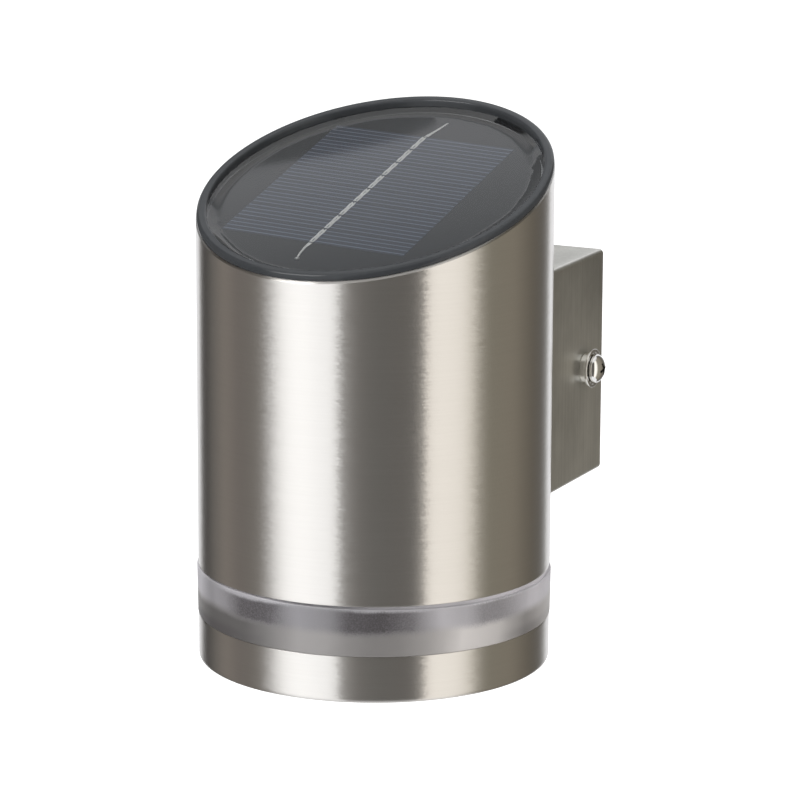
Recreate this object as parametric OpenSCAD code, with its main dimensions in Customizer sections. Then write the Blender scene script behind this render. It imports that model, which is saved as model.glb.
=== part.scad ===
// Solar wall light: a steel tube with a sloping solar top, a frosted light band and a steel cap,
// held to the wall by a folded canopy that hangs on a U-shaped wall plate.
// Millimetres, +Z up, the wall is the plane y = 0, the light stands out towards -Y,
// and the origin is the middle of the wall plate's back.

/* [Tube] */
// Outside diameter of the tube
tube_d = 90; // [90:0.5:120]
// Wall of the tube
tube_t = 1; // [0.6:0.1:1.5]
// Height of the tube on its axis, from the lower edge to the sloping cut
tube_h = 96.6; // [92:0.1:150]
// Slope of the tube's top, rising towards the wall
slope = 19.3; // [16:0.1:28]

/* [Cap and light band] */
// Height of the steel cap
cap_h = 12; // [10:0.1:20]
// Sheet of the steel cap
cap_t = 0.8; // [0.5:0.1:1.2]
// Radius of the cap's lower edge
cap_edge_r = 1; // [0.5:0.1:3]
// Height of the frosted band that shows between the cap and the tube
lens_h = 12.7; // [10:0.1:25]
// How far the frosted band stands proud of the tube
lens_proud = 0.3; // [0:0.1:1]
// Height of the shadow step at the band's upper edge
reveal_h = 0.6; // [0.3:0.1:1.5]
// Wall of the band's spigots
spigot_t = 2.2; // [1.8:0.1:3]
// Height of the spigot that goes up into the tube
spigot_h = 7; // [6:0.1:12]
// Depth of the spigot that goes down into the cap
low_spigot_h = 4; // [3.5:0.1:6]
// Height of each rubber seal ring
seal_h = 2; // [1.2:0.1:2.4]
// Depth of each seal ring's groove
seal_depth = 1; // [0.6:0.1:1.2]

/* [Canopy and wall plate] */
// Width of the canopy
canopy_w = 60; // [54:0.5:76]
// Height of the canopy
canopy_h = 60; // [50:0.5:76]
// Height of the canopy's middle above the cap's underside
canopy_z = 65; // [64:0.5:80]
// Gap between the wall and the back of the tube
stand_off = 32.5; // [30:0.5:60]
// Sheet of the canopy
sheet_t = 1; // [0.8:0.1:1.5]
// Outer radius of the canopy's folds
bend_r = 1.6; // [1.6:0.1:3]
// Width of the two tabs that are bolted to the tube
tab_w = 16; // [12:0.5:20]
// Length of each tab below its fold
tab_l = 20; // [18:0.5:22]
// Sheet of the wall plate
plate_t = 1.5; // [1:0.1:2]
// How much shorter than the canopy the wall plate is
plate_short = 16; // [12:0.5:20]
// Length of the wall plate's ears, from the wall
ear_l = 18; // [17:0.5:24]
// Height of the wall plate's ears
ear_h = 20; // [14:0.5:26]
// Diameter of the wall screw holes
wall_hole_d = 5; // [4:0.1:6]
// Distance between the wall screw holes
wall_hole_pitch = 30; // [20:0.5:32]

/* [Side screws] */
// Diameter of the side screws and the canopy bolts
bolt_d = 4; // [3:0.1:5]
// Distance of the side screws from the wall
side_inset = 11.5; // [9:0.1:12]
// Length of the side screws under the head
side_screw_l = 11; // [10.5:0.1:13]
// Diameter of the domed heads
head_d = 7.7; // [6:0.1:9]
// Height of the domed heads
head_h = 3; // [2:0.1:4]
// Diameter of the washers under the side screws
washer_d = 10.3; // [9.2:0.1:14]
// Thickness of the washers
washer_t = 0.8; // [0.5:0.1:1.5]
// Diameter of the collars between washer and canopy
collar_d = 8.4; // [7:0.1:9]
// Height of the collars
collar_h = 1.8; // [1:0.1:3]
// Width across the flats of the nuts
nut_af = 7; // [6.2:0.1:8]
// Height of the nuts
nut_h = 2.8; // [2:0.1:3.2]

/* [Solar panel] */
// Height of the black rim above the tube's edge
rim_h = 1.4; // [1:0.1:3]
// Rounding of the rim's edges
rim_round = 0.6; // [0.2:0.1:0.6]
// Width of the rim's lip
lip_w = 2.6; // [2.4:0.1:3.6]
// Depth of the clear resin's face below the rim
resin_drop = 2.4; // [1:0.1:2.6]
// Depth of the resin over the panel board
resin_t = 1.6; // [1.2:0.1:2.5]
// Thickness of the panel board
panel_t = 1; // [0.6:0.1:2]
// Floor of the tray
tray_floor = 1.5; // [1:0.1:2.5]
// Wall of the tray's skirt
skirt_t = 2; // [1.8:0.1:3]
// Depth of the tray's skirt below the tube's edge
skirt_h = 9; // [8.5:0.1:12]
// Length of the solar strips, across the tube
cell_w = 52.9; // [30:0.1:53.5]
// Pitch of the solar strips
strip_pitch = 7.2; // [5:0.05:7.25]
// Number of solar strips
strip_count = 8; // [4:1:8]
// Gap between neighbouring strips
strip_gap = 0.25; // [0.1:0.05:1]
// Turn of the solar cell in its tray
cell_turn = -5.5; // [-6:0.5:6]
// Shift of the solar cell across the tray
cell_shift_x = -2.7; // [-2.7:0.1:2.7]
// Shift of the solar cell up the slope
cell_shift_s = 1.7; // [-1.7:0.1:1.7]
// Thickness of the solar strips
cell_t = 0.3; // [0.2:0.05:0.5]
// Width of the silver ribbon
ribbon_w = 1.6; // [1:0.1:3]
// Thickness of the silver ribbon
ribbon_t = 0.15; // [0.1:0.05:0.3]
// How far the ribbon runs past the cell at each end
ribbon_over = 6; // [3:0.5:6]

/* [Light unit] */
// Thickness of the carrier's deck
deck_t = 2; // [1.5:0.1:3]
// Overhang of the deck over the band's spigot
deck_over = 1.9; // [1:0.1:2.1]
// Depth of the ring that centres the deck in the band
deck_ring_h = 3; // [2:0.1:4]
// Diameter of the carrier's screw posts
post_d = 6; // [5.4:0.1:6.5]
// Number of screw posts
post_count = 3; // [3:1:5]
// Diameter of the cap screws
cap_screw_d = 3; // [2.5:0.1:3.2]
// Length of the cap screws
cap_screw_l = 16; // [12:0.5:20]
// Wall of the white cone
cone_t = 1.4; // [1:0.1:2]
// Diameter of the cone's flat top
cone_top_d = 14; // [12:0.5:18]
// Gap between the cone's top and the light board
cone_gap = 3.5; // [2:0.1:6]
// Thickness of the light board
led_board_t = 1.6; // [1:0.1:2]
// Height of the bosses that the light board hangs from
led_boss_h = 3; // [2:0.1:5]
// Number of light chips
led_count = 6; // [3:1:12]
// Diameter of the lead hole in the middle of the deck
lead_hole_d = 9; // [8:0.5:10]

/* [Battery and board] */
// Diameter of a rechargeable cell
battery_d = 14.5; // [10.5:0.1:14.5]
// Length of a rechargeable cell, with its nub
battery_l = 50.5; // [44.5:0.1:50.5]
// Wall of the battery holder
holder_wall = 1.3; // [1:0.1:1.5]
// Room in the holder for the springs
spring_room = 4.6; // [3:0.1:4.6]
// Length of the control board
board_l = 48; // [40:0.5:52]
// Width of the control board
board_w = 22; // [20:0.5:23]
// Thickness of the control board
board_t = 1.6; // [1:0.1:2]
// Height of the control board's standoffs
standoff_h = 3.5; // [2.5:0.1:6]
// Diameter of the leads' insulation
lead_d = 1.3; // [1:0.1:1.6]

/* [Switch] */
// Length of the switch's body
switch_l = 12; // [11:0.1:16]
// Width of the switch's body
switch_w = 6; // [5.6:0.1:8]
// Height of the switch's body
switch_h = 5; // [4.5:0.1:6]
// Travel of the switch's knob
switch_travel = 2; // [1.5:0.1:3]
// Length of the knob
knob_l = 3.4; // [3:0.1:4]
// Width of the knob
knob_w = 2.2; // [1.8:0.1:2.4]
// How far the knob stands below the cap
knob_out = 1; // [0.5:0.1:2]

/* [Hidden] */
$fn = 72;

// Clearance of pieces that slide or turn in each other
fit_gap = 0.3;
// Clearance of pieces that are pressed or screwed together
seat_gap = 0.1;
// Clearance round a screw's thread
thread_gap = 0.05;
// Overshoot of every cut
cut = 1;
// Edge of a block that is larger than the whole light
big = 4 * tube_d;

// Tube and levels
tube_r = tube_d / 2;
tube_ri = tube_r - tube_t;
axis_y = -(stand_off + tube_r);
z_cap = -canopy_z;
z_lens = z_cap + cap_h;
z_tube = z_lens + lens_h;
z_cut = z_tube + tube_h;
z_spigot = z_tube + spigot_h;
z_deck = z_spigot + deck_t;

// Cap and band radii
cap_r = tube_r - 0.05;
cap_ri = cap_r - cap_t;
band_r = tube_r + lens_proud;
step_r = tube_r - 0.4;
spigot_r = tube_ri - fit_gap;
lens_ri = spigot_r - spigot_t;
low_spigot_r = min(cap_ri - fit_gap, lens_ri + spigot_t);
z_upper_groove = z_tube + (spigot_h - seal_h) / 2;
z_lower_groove = z_lens - (low_spigot_h + seal_h) / 2;

// Canopy and wall plate
bolt_r = bolt_d / 2;
hole_play = 0.25;
bolt_z = canopy_h / 4;
tab_gap = 0.3;
tab_y = -stand_off + tab_gap;
plate_x = canopy_w / 2 - sheet_t - 0.4;
plate_h = canopy_h - plate_short;
ear_x = plate_x - plate_t;
side_seat_x = canopy_w / 2 + collar_h;
side_head_x = side_seat_x + washer_t;

// Solar tray, measured square to the slope from the tube's edge
tray_r = tube_r - 0.1;
skirt_r = tube_ri - fit_gap;
pocket_r = tray_r - lip_w;
resin_n = rim_h - resin_drop;
panel_n = resin_n - resin_t;
floor_n = panel_n - panel_t;
under_n = floor_n - tray_floor;
tray_hole_r = 3;
groove_hi_n = -skirt_h + seal_h + 1.5;
groove_lo_n = -skirt_h + 1.5;
ring_steps = 72;
round_steps = 4;

// Cell
cell_l = strip_pitch * strip_count;
ribbon_n = panel_n + cell_t;

// Light unit, from the cap up
dimple_h = 2;
dimple_top = 3.2;
cap_hole_r = cap_screw_d / 2 + hole_play;
z_floor = z_cap + cap_t;
z_flange = z_cap + dimple_h + seat_gap;
flange_t = 1.5;
z_flange_top = z_flange + flange_t;
post_ring_r = lens_ri - post_d / 2 - 1.5;
cone_r = post_ring_r - post_d / 2 - 0.6;
flange_r = lens_ri - fit_gap;
z_led_top = z_spigot - led_boss_h;
z_led = z_led_top - led_board_t;
z_cone_top = z_led - cone_gap;
led_board_r = cone_r;
led_ring_inset = 6;
led_screw_inset = 12;
led_ring_r = led_board_r - led_ring_inset;
led_screw_ring_r = led_board_r - led_screw_inset;
led_boss_r = 3;

// Battery holder and control board on the deck
bay_w = battery_d + 0.6;
holder_l = battery_l + spring_room + 2 * holder_wall;
holder_w = 2 * bay_w + 3 * holder_wall;
holder_floor = 1.6;
holder_h = holder_floor + battery_d * 0.95;
holder_top = z_deck + holder_h;
holder_rear = 3;
holder_y = holder_rear - holder_w / 2;
lead_hole_y = holder_rear + lead_hole_d / 2 + 0.5;
battery_z = z_deck + holder_floor + 0.2 + battery_d / 2;
bay_y = (bay_w + holder_wall) / 2;
board_front = holder_rear + 4;
board_y = board_front + board_w / 2;
z_board = z_deck + standoff_h;
z_board_top = z_board + board_t;
small_screw_d = 2.5;
small_head_d = 4.6;
small_head_h = 1.8;
board_hole_x = board_l / 2 - 3.5;
board_hole_y = board_w / 2 - 3.5;
contact_t = 0.4;
battery_x = (spring_room - battery_l) / 2 - contact_t;
led_screw_l = 6;
board_screw_l = 5;
can_d = 6.3;
can_h = 7.5;
coil_d = 7;
coil_h = 4.5;
chip_l = 5;
chip_w = 4;
chip_h = 1.6;
chip_inset = 4.5;
diode_l = 2.6;
diode_w = 4.4;
diode_h = 2;
diode_inset = 7.5;
resistor_l = 1.25;
resistor_w = 2;
resistor_h = 0.6;
resistor_pitch = 2.4;
resistor_row = 4;
part_row = 2;
standoff_r = 2.8;

// Leads: gap at each end, distance of each pair from the middle, and the row of their pads
lead_end = 0.05;
lead_side = 1.8;
lead_row = board_front + 2;

// Plug and socket of the solar lead
socket_l = 7.6;
socket_w = 5.4;
socket_h = 6.4;
socket_wall = 0.8;
socket_y = board_y + board_w / 2 - socket_w / 2 - 0.8;
plug_gap = 0.2;
plug_z = z_board_top + 1.2;
plug_h = 6.4;

// Switch in the cap
switch_y = -16;
knob_shoulder = 1.2;
stem_room = knob_l + switch_travel + 2 * seat_gap;
slot_w = knob_w + 0.6;
switch_ear = 4;
switch_ear_t = 1;
switch_hole_x = switch_l / 2 + switch_ear / 2;
switch_screw_d = 2;
switch_screw_l = 3;
switch_head_d = 3.6;

// Places its children on the tube's axis
module on_axis() {
  translate([0, axis_y, 0]) children();
}

// Places its children on the sloping cut, with z square to the slope
module on_slope(n = 0) {
  translate([0, axis_y, z_cut]) rotate([slope, 0, 0]) translate([0, 0, n]) children();
}

// Everything between two depths, measured square to the slope
module slope_slab(lo, hi) {
  on_slope(lo) translate([-big / 2, -big / 2, 0]) cube([big, big, hi - lo]);
}

// A sloping disc: the upright cylinder of radius r between two depths
module slope_disc(r, lo, hi) {
  intersection() {
    on_axis() translate([0, 0, z_cut - big / 2]) cylinder(r = r, h = big);
    slope_slab(lo, hi);
  }
}

// Points of an arc in the plane
function arc(cx, cy, r, a0, a1, steps) =
  [for (i = [0:steps]) [cx + r * cos(a0 + (a1 - a0) * i / steps), cy + r * sin(a0 + (a1 - a0) * i / steps)]];

// Point of a sloping ring: radius r, depth n square to the slope, angle a
function ring_point(r, n, a) =
  [r * cos(a), axis_y + r * sin(a), z_cut + r * sin(a) * tan(slope) + n / cos(slope)];

// A ring whose closed profile of [radius, depth] points follows the slope
module slope_ring(profile) {
  count = len(profile);
  points = [for (i = [0:ring_steps - 1], p = profile) ring_point(p[0], p[1], 360 * i / ring_steps)];
  faces = [
    for (i = [0:ring_steps - 1], k = [0:count - 1])
      let (j = (i + 1) % ring_steps, m = (k + 1) % count)
        [i * count + k, i * count + m, j * count + m, j * count + k]
  ];
  polyhedron(points = points, faces = faces, convexity = 6);
}

function unit(v) = v / norm(v);

// Extra points on a smooth curve through a route's points
function curve_point(a, b, c, d, t) =
  0.5 * (2 * b + (c - a) * t + (2 * a - 5 * b + 4 * c - d) * t * t + (3 * b - a - 3 * c + d) * t * t * t);
function smooth_route(p, steps) = let (last = len(p) - 1) concat(
  [for (i = [0:last - 1], s = [0:steps - 1])
    curve_point(p[max(i - 1, 0)], p[i], p[i + 1], p[min(i + 2, last)], s / steps)],
  [p[last]]
);

// A round wire along a route, with side as a direction that the route never takes
module wire(route, d, side, sides = 8) {
  last = len(route) - 1;
  rings = [
    for (i = [0:last])
      let (
        t = unit(route[min(i + 1, last)] - route[max(i - 1, 0)]),
        u = unit(cross(t, side)),
        v = cross(t, u)
      )
        for (k = [0:sides - 1]) route[i] + d / 2 * (cos(360 * k / sides) * u + sin(360 * k / sides) * v)
  ];
  walls = [
    for (i = [0:last - 1], k = [0:sides - 1])
      let (m = (k + 1) % sides) [i * sides + k, (i + 1) * sides + k, (i + 1) * sides + m, i * sides + m]
  ];
  first_end = [for (k = [0:sides - 1]) k];
  last_end = [for (k = [0:sides - 1]) (last + 1) * sides - 1 - k];
  polyhedron(points = rings, faces = concat(walls, [first_end, last_end]), convexity = 10);
}

// Cross recess in a head that faces +Z, with its floor at the origin
module cross_recess(size, deep) {
  for (turn = [0, 90])
    rotate([0, 0, turn]) translate([-size / 2, -size / 8, 0]) cube([size, size / 4, deep + cut]);
}

// Domed screw with its seat at the origin and its head towards +Z
module dome_screw(d, l, hd, hh) {
  rim = hh * 0.25;
  difference() {
    union() {
      translate([0, 0, -l]) cylinder(d = d, h = l + rim / 2);
      rotate_extrude() polygon(concat(
        [[0, 0], [hd / 2, 0]],
        [for (i = [0:8]) [hd / 2 * cos(90 * i / 8), rim + (hh - rim) * sin(90 * i / 8)]]
      ));
    }
    translate([0, 0, hh * 0.6]) cross_recess(hd * 0.5, hh);
  }
}

// Countersunk screw with its flat head at the origin facing -Z and its thread towards +Z
module flat_screw(d, l, hd) {
  head = (hd - d) / 2;
  difference() {
    union() {
      cylinder(d1 = hd, d2 = d, h = head);
      cylinder(d = d, h = l);
    }
    translate([0, 0, head * 0.6]) mirror([0, 0, 1]) cross_recess(hd * 0.5, head);
  }
}

// Hexagonal nut on +Z with its seat at the origin
module hex_nut(d) {
  difference() {
    cylinder(d = nut_af / cos(30), h = nut_h, $fn = 6);
    translate([0, 0, -cut]) cylinder(d = d + 2 * thread_gap, h = nut_h + 2 * cut);
  }
}

// Steel tube with the sloping cut and the two bolt holes in its back
module tube_body() {
  color("silver") difference() {
    on_axis() translate([0, 0, z_tube]) cylinder(r = tube_r, h = tube_h + big / 4);
    on_axis() translate([0, 0, z_tube - cut]) cylinder(r = tube_ri, h = tube_h + big / 4 + 2 * cut);
    slope_slab(0, big);
    for (side = [-1, 1])
      translate([0, axis_y + tube_ri - 3, side * bolt_z]) rotate([-90, 0, 0])
        cylinder(r = bolt_r + hole_play, h = tube_t + 6);
  }
}

// Profile of the black tray: rounded lip, pocket for the panel, floor with a lead hole,
// and a skirt with a groove for its seal
tray_profile = concat(
  [[skirt_r, 0], [tray_r, 0]],
  arc(tray_r - rim_round, rim_h - rim_round, rim_round, 0, 90, round_steps),
  arc(pocket_r + rim_round, rim_h - rim_round, rim_round, 90, 180, round_steps),
  [[pocket_r, floor_n], [tray_hole_r, floor_n], [tray_hole_r, under_n], [skirt_r - skirt_t, under_n]],
  [[skirt_r - skirt_t, -skirt_h], [skirt_r, -skirt_h], [skirt_r, groove_lo_n]],
  [[skirt_r - seal_depth, groove_lo_n], [skirt_r - seal_depth, groove_hi_n], [skirt_r, groove_hi_n]]
);

// Black moulded tray that closes the sloping top
module solar_tray() {
  color([0.16, 0.17, 0.18]) slope_ring(tray_profile);
}

// Rubber ring in the skirt's groove, pressed against the tube
module tray_seal() {
  color([0.1, 0.1, 0.1]) difference() {
    slope_disc(tube_ri - thread_gap, groove_lo_n + seat_gap, groove_hi_n - seat_gap);
    slope_disc(skirt_r - seal_depth + seat_gap, -skirt_h - cut, 0);
  }
}

// Dark board that carries the solar strips
module panel_board() {
  color([0.2, 0.21, 0.22]) slope_disc(pocket_r - fit_gap, floor_n, panel_n);
}

// Places its children on the middle of the solar cell
module on_cell(n) {
  on_slope(n) translate([cell_shift_x, cell_shift_s, 0]) rotate([0, 0, cell_turn]) children();
}

// Eight silicon strips side by side up the slope
module cell_strips() {
  color([0.24, 0.25, 0.31]) on_cell(panel_n)
    for (i = [0:strip_count - 1])
      translate([-cell_w / 2, i * strip_pitch - cell_l / 2 + strip_gap / 2, 0])
        cube([cell_w, strip_pitch - strip_gap, cell_t]);
}

// Silver ribbon: one length on each strip and a tail past each end of the cell
module cell_ribbons() {
  color([0.78, 0.77, 0.74]) on_cell(panel_n) {
    for (i = [0:strip_count - 1])
      translate([-ribbon_w / 2, i * strip_pitch - cell_l / 2 + strip_gap, cell_t])
        cube([ribbon_w, strip_pitch - 2 * strip_gap, ribbon_t]);
    for (end = [0, 1])
      mirror([0, end, 0]) translate([-ribbon_w / 2, cell_l / 2, 0])
        cube([ribbon_w, ribbon_over - ribbon_w, ribbon_t + cell_t]);
  }
}

// Clear resin that floods the cell, flat on top
module panel_resin() {
  room = cell_t + ribbon_t + 0.05;
  color([0.3, 0.32, 0.34, 0.5]) difference() {
    slope_disc(pocket_r - seat_gap, panel_n, resin_n);
    on_cell(panel_n - cut) translate([-cell_w / 2 - seat_gap, -cell_l / 2 - seat_gap, 0])
      cube([cell_w + 2 * seat_gap, cell_l + 2 * seat_gap, room + cut]);
    on_cell(panel_n - cut) translate([-ribbon_w / 2 - seat_gap, -cell_l / 2 - ribbon_over, 0])
      cube([ribbon_w + 2 * seat_gap, cell_l + 2 * ribbon_over, room + cut]);
  }
}

// Route of the solar lead: out of the tray's hole, back under the tray and down to the plug
lead_top = z_cut + under_n / cos(slope);
lead_loop = 10;
lead_back = tube_ri - 1.3 * lead_loop;
solar_route = [
  [0, 0, z_cut + floor_n / cos(slope) - 0.04 * lead_loop], [0, 0, lead_top - 0.1 * lead_loop],
  [0, 0.3 * lead_loop, lead_top - 0.4 * lead_loop], [0, lead_loop, lead_top - 0.15 * lead_loop],
  [0, 2 * lead_loop, lead_top + 0.2 * lead_loop],
  [0, lead_back - 0.3 * lead_loop, lead_top + 0.1 * lead_loop],
  [0, lead_back, lead_top - 0.8 * lead_loop], [0, lead_back, lead_top - 2.5 * lead_loop],
  [0, lead_back - 0.1 * lead_loop, 0.5 * lead_loop],
  [0, socket_y, plug_z + plug_h + 0.8 * lead_loop], [0, socket_y, plug_z + plug_h + 0.2 * lead_loop],
  [0, socket_y, plug_z + plug_h + lead_end]
];

// Two-core lead from the panel to the plug
module solar_lead() {
  color("firebrick") on_axis()
    for (side = [-1, 1])
      translate([side * (lead_d / 2 + 0.1), 0, 0]) wire(smooth_route(solar_route, 3), lead_d, [1, 0, 0]);
}

// Plug on the lead, standing in the board's socket
module lead_plug() {
  plug_l = socket_l - 2 * socket_wall - 2 * plug_gap;
  plug_w = socket_w - 2 * socket_wall - 2 * plug_gap;
  color("ivory") on_axis() translate([0, socket_y, plug_z]) difference() {
    union() {
      translate([-plug_l / 2, -plug_w / 2, 0]) cube([plug_l, plug_w, plug_h]);
      translate([-socket_l / 2, -plug_w / 2, plug_h - 1]) cube([socket_l, plug_w, 1]);
    }
    for (side = [-1, 1])
      translate([side * 1.25, 0, -cut]) cylinder(d = 1, h = 4 + cut);
  }
}

// Square tube outline with round folds
module folded_square(w, h, r) {
  square([w - 2 * r, h], center = true);
  square([w, h - 2 * r], center = true);
  for (x = [-1, 1], y = [-1, 1])
    translate([x * (w / 2 - r), y * (h / 2 - r)]) circle(r = r);
}

// Canopy: a folded square sleeve, coped to the tube in front, open to the wall,
// with a bolted tab bent in from its top and one from its floor
module bracket_box() {
  color([0.66, 0.65, 0.62]) difference() {
    union() {
      rotate([90, 0, 0]) linear_extrude(-axis_y) difference() {
        folded_square(canopy_w, canopy_h, bend_r);
        folded_square(canopy_w - 2 * sheet_t, canopy_h - 2 * sheet_t, bend_r - sheet_t);
      }
      for (side = [0, 1])
        mirror([0, 0, side]) translate([-tab_w / 2, tab_y, canopy_h / 2 - sheet_t / 2 - tab_l])
          cube([tab_w, sheet_t, tab_l]);
    }
    on_axis() translate([0, 0, -canopy_h]) cylinder(r = tube_r + tab_gap / 2, h = 2 * canopy_h);
    for (side = [-1, 1])
      translate([0, tab_y - cut, side * bolt_z]) rotate([-90, 0, 0])
        cylinder(r = bolt_r + hole_play, h = sheet_t + 2 * cut);
    translate([-canopy_w, -side_inset, 0]) rotate([0, 90, 0])
      cylinder(r = bolt_r + hole_play, h = 2 * canopy_w);
  }
}

// Flat seat of a head of diameter d on the inside of the round tube
function inner_seat(d) = axis_y + sqrt(tube_ri * tube_ri - d * d / 4) - thread_gap;
bracket_screw_l = tab_y + sheet_t + nut_h + 2.2 - inner_seat(head_d);

// Two bolts from inside the tube through the canopy's tabs
module bracket_screws() {
  color("gainsboro")
    for (side = [-1, 1])
      translate([0, inner_seat(head_d), side * bolt_z]) rotate([90, 0, 0])
        dome_screw(bolt_d, bracket_screw_l, head_d, head_h);
}

// Nuts on the canopy bolts
module bracket_nuts() {
  color("gainsboro")
    for (side = [-1, 1])
      translate([0, tab_y + sheet_t, side * bolt_z]) rotate([-90, 0, 0]) hex_nut(bolt_d);
}

// Wall plate: a flat back with two screw holes and an ear folded forward on each side
module wall_plate() {
  color([0.7, 0.7, 0.7]) difference() {
    union() {
      translate([-plate_x, -plate_t, -plate_h / 2]) cube([2 * plate_x, plate_t, plate_h]);
      for (side = [0, 1])
        mirror([side, 0, 0]) translate([ear_x, -ear_l, -ear_h / 2]) cube([plate_t, ear_l, ear_h]);
    }
    for (side = [-1, 1])
      translate([0, -plate_t - cut, side * wall_hole_pitch / 2]) rotate([-90, 0, 0])
        cylinder(d = wall_hole_d, h = plate_t + 2 * cut);
    translate([-canopy_w, -side_inset, 0]) rotate([0, 90, 0])
      cylinder(r = bolt_r + thread_gap, h = 2 * canopy_w);
  }
}

// Nuts welded to the inside of the ears for the side screws
module ear_nuts() {
  color("gainsboro")
    for (side = [0, 1])
      mirror([side, 0, 0]) translate([ear_x, -side_inset, 0]) rotate([0, -90, 0]) hex_nut(bolt_d);
}

// Low collars that hold the side screws' washers off the canopy
module side_collars() {
  color("gainsboro")
    for (side = [0, 1])
      mirror([side, 0, 0]) translate([canopy_w / 2, -side_inset, 0]) rotate([0, 90, 0]) difference() {
        cylinder(d = collar_d, h = collar_h);
        translate([0, 0, -cut]) cylinder(r = bolt_r + hole_play, h = collar_h + 2 * cut);
      }
}

// Washer and screw of one side, drawn for the right side
module washer_shape() {
  translate([side_seat_x, -side_inset, 0]) rotate([0, 90, 0]) difference() {
    cylinder(d = washer_d, h = washer_t);
    translate([0, 0, -cut]) cylinder(r = bolt_r + thread_gap, h = washer_t + 2 * cut);
  }
}
module side_screw_shape() {
  translate([side_head_x, -side_inset, 0]) rotate([0, 90, 0])
    dome_screw(bolt_d, side_screw_l, head_d, head_h);
}
module side_washer_right() {
  color("gainsboro") washer_shape();
}
module side_washer_left() {
  color("gainsboro") mirror([1, 0, 0]) washer_shape();
}
module side_screw_right() {
  color("whitesmoke") side_screw_shape();
}
module side_screw_left() {
  color("whitesmoke") mirror([1, 0, 0]) side_screw_shape();
}

// Places its children at each screw post
module at_posts() {
  on_axis()
    for (i = [0:post_count - 1])
      rotate([0, 0, 90 + 360 * i / post_count]) translate([post_ring_r, 0, 0]) children();
}

// Drawn steel cap with dimples for its screws and a slot for the switch
module bottom_cap() {
  inner_edge = max(cap_edge_r - cap_t, 0.2);
  color("silver") difference() {
    union() {
      on_axis() translate([0, 0, z_cap]) rotate_extrude() polygon(concat(
        [[0, 0]],
        arc(cap_r - cap_edge_r, cap_edge_r, cap_edge_r, -90, 0, 6),
        [[cap_r, cap_h], [cap_ri, cap_h]],
        arc(cap_ri - inner_edge, cap_t + inner_edge, inner_edge, 0, -90, 4),
        [[0, cap_t]]
      ));
      at_posts() translate([0, 0, z_cap])
        cylinder(r1 = dimple_top + cap_t, r2 = cap_screw_d / 2 + 1, h = dimple_h);
    }
    at_posts() translate([0, 0, z_cap]) {
      cylinder(r1 = dimple_top, r2 = cap_hole_r, h = dimple_top - cap_hole_r);
      cylinder(r = cap_hole_r, h = dimple_h + cut);
      translate([0, 0, -cut]) cylinder(r = dimple_top, h = cut + 0.01);
    }
    on_axis() translate([0, switch_y, z_cap - cut]) {
      translate([-stem_room / 2, -slot_w / 2, 0]) cube([stem_room, slot_w, cap_t + 2 * cut]);
      for (side = [-1, 1]) {
        translate([side * stem_room / 2, 0, 0]) cylinder(d = slot_w, h = cap_t + 2 * cut);
        translate([side * switch_hole_x, 0, 0])
          cylinder(r = switch_screw_d / 2 + seat_gap, h = cap_t + 2 * cut);
      }
    }
  }
}

// Frosted ring: the band that shows, a spigot up into the tube and one down into the cap
module lens_ring() {
  edge = 0.3;
  color([0.72, 0.71, 0.76, 0.7]) on_axis() rotate_extrude() polygon([
    [lens_ri, z_lens - low_spigot_h], [low_spigot_r, z_lens - low_spigot_h],
    [low_spigot_r, z_lower_groove], [low_spigot_r - seal_depth, z_lower_groove],
    [low_spigot_r - seal_depth, z_lower_groove + seal_h], [low_spigot_r, z_lower_groove + seal_h],
    [low_spigot_r, z_lens], [band_r - edge, z_lens], [band_r, z_lens + edge],
    [band_r, z_tube - reveal_h - edge], [band_r - edge, z_tube - reveal_h], [step_r, z_tube - reveal_h],
    [step_r, z_tube], [spigot_r, z_tube],
    [spigot_r, z_upper_groove], [spigot_r - seal_depth, z_upper_groove],
    [spigot_r - seal_depth, z_upper_groove + seal_h], [spigot_r, z_upper_groove + seal_h],
    [spigot_r, z_spigot], [lens_ri, z_spigot]
  ]);
}

// Rubber ring of a spigot's groove: inner wall at r0, outer at r1, from z up
module seal_ring(r0, r1, z) {
  color([0.12, 0.12, 0.12]) on_axis() translate([0, 0, z + seat_gap]) difference() {
    cylinder(r = r1, h = seal_h - 2 * seat_gap);
    translate([0, 0, -cut]) cylinder(r = r0, h = seal_h + 2 * cut);
  }
}
module upper_seal() {
  seal_ring(spigot_r - seal_depth + seat_gap, tube_ri - thread_gap, z_upper_groove);
}
module lower_seal() {
  seal_ring(low_spigot_r - seal_depth + seat_gap, cap_ri - thread_gap, z_lower_groove);
}

// Places its children at the two light board screws and the four control board screws
module at_led_screws() {
  on_axis()
    for (side = [-1, 1])
      translate([side * led_screw_ring_r, 0, 0]) children();
}
module at_board_screws() {
  on_axis()
    for (x = [-1, 1], y = [-1, 1])
      translate([x * board_hole_x, board_y + y * board_hole_y, 0]) children();
}
module at_holder_screws() {
  on_axis()
    for (side = [-1, 1], bay = [-1, 1])
      if (side == bay) translate([side * battery_l / 4, holder_y + bay * bay_y, 0]) children();
}

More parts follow.
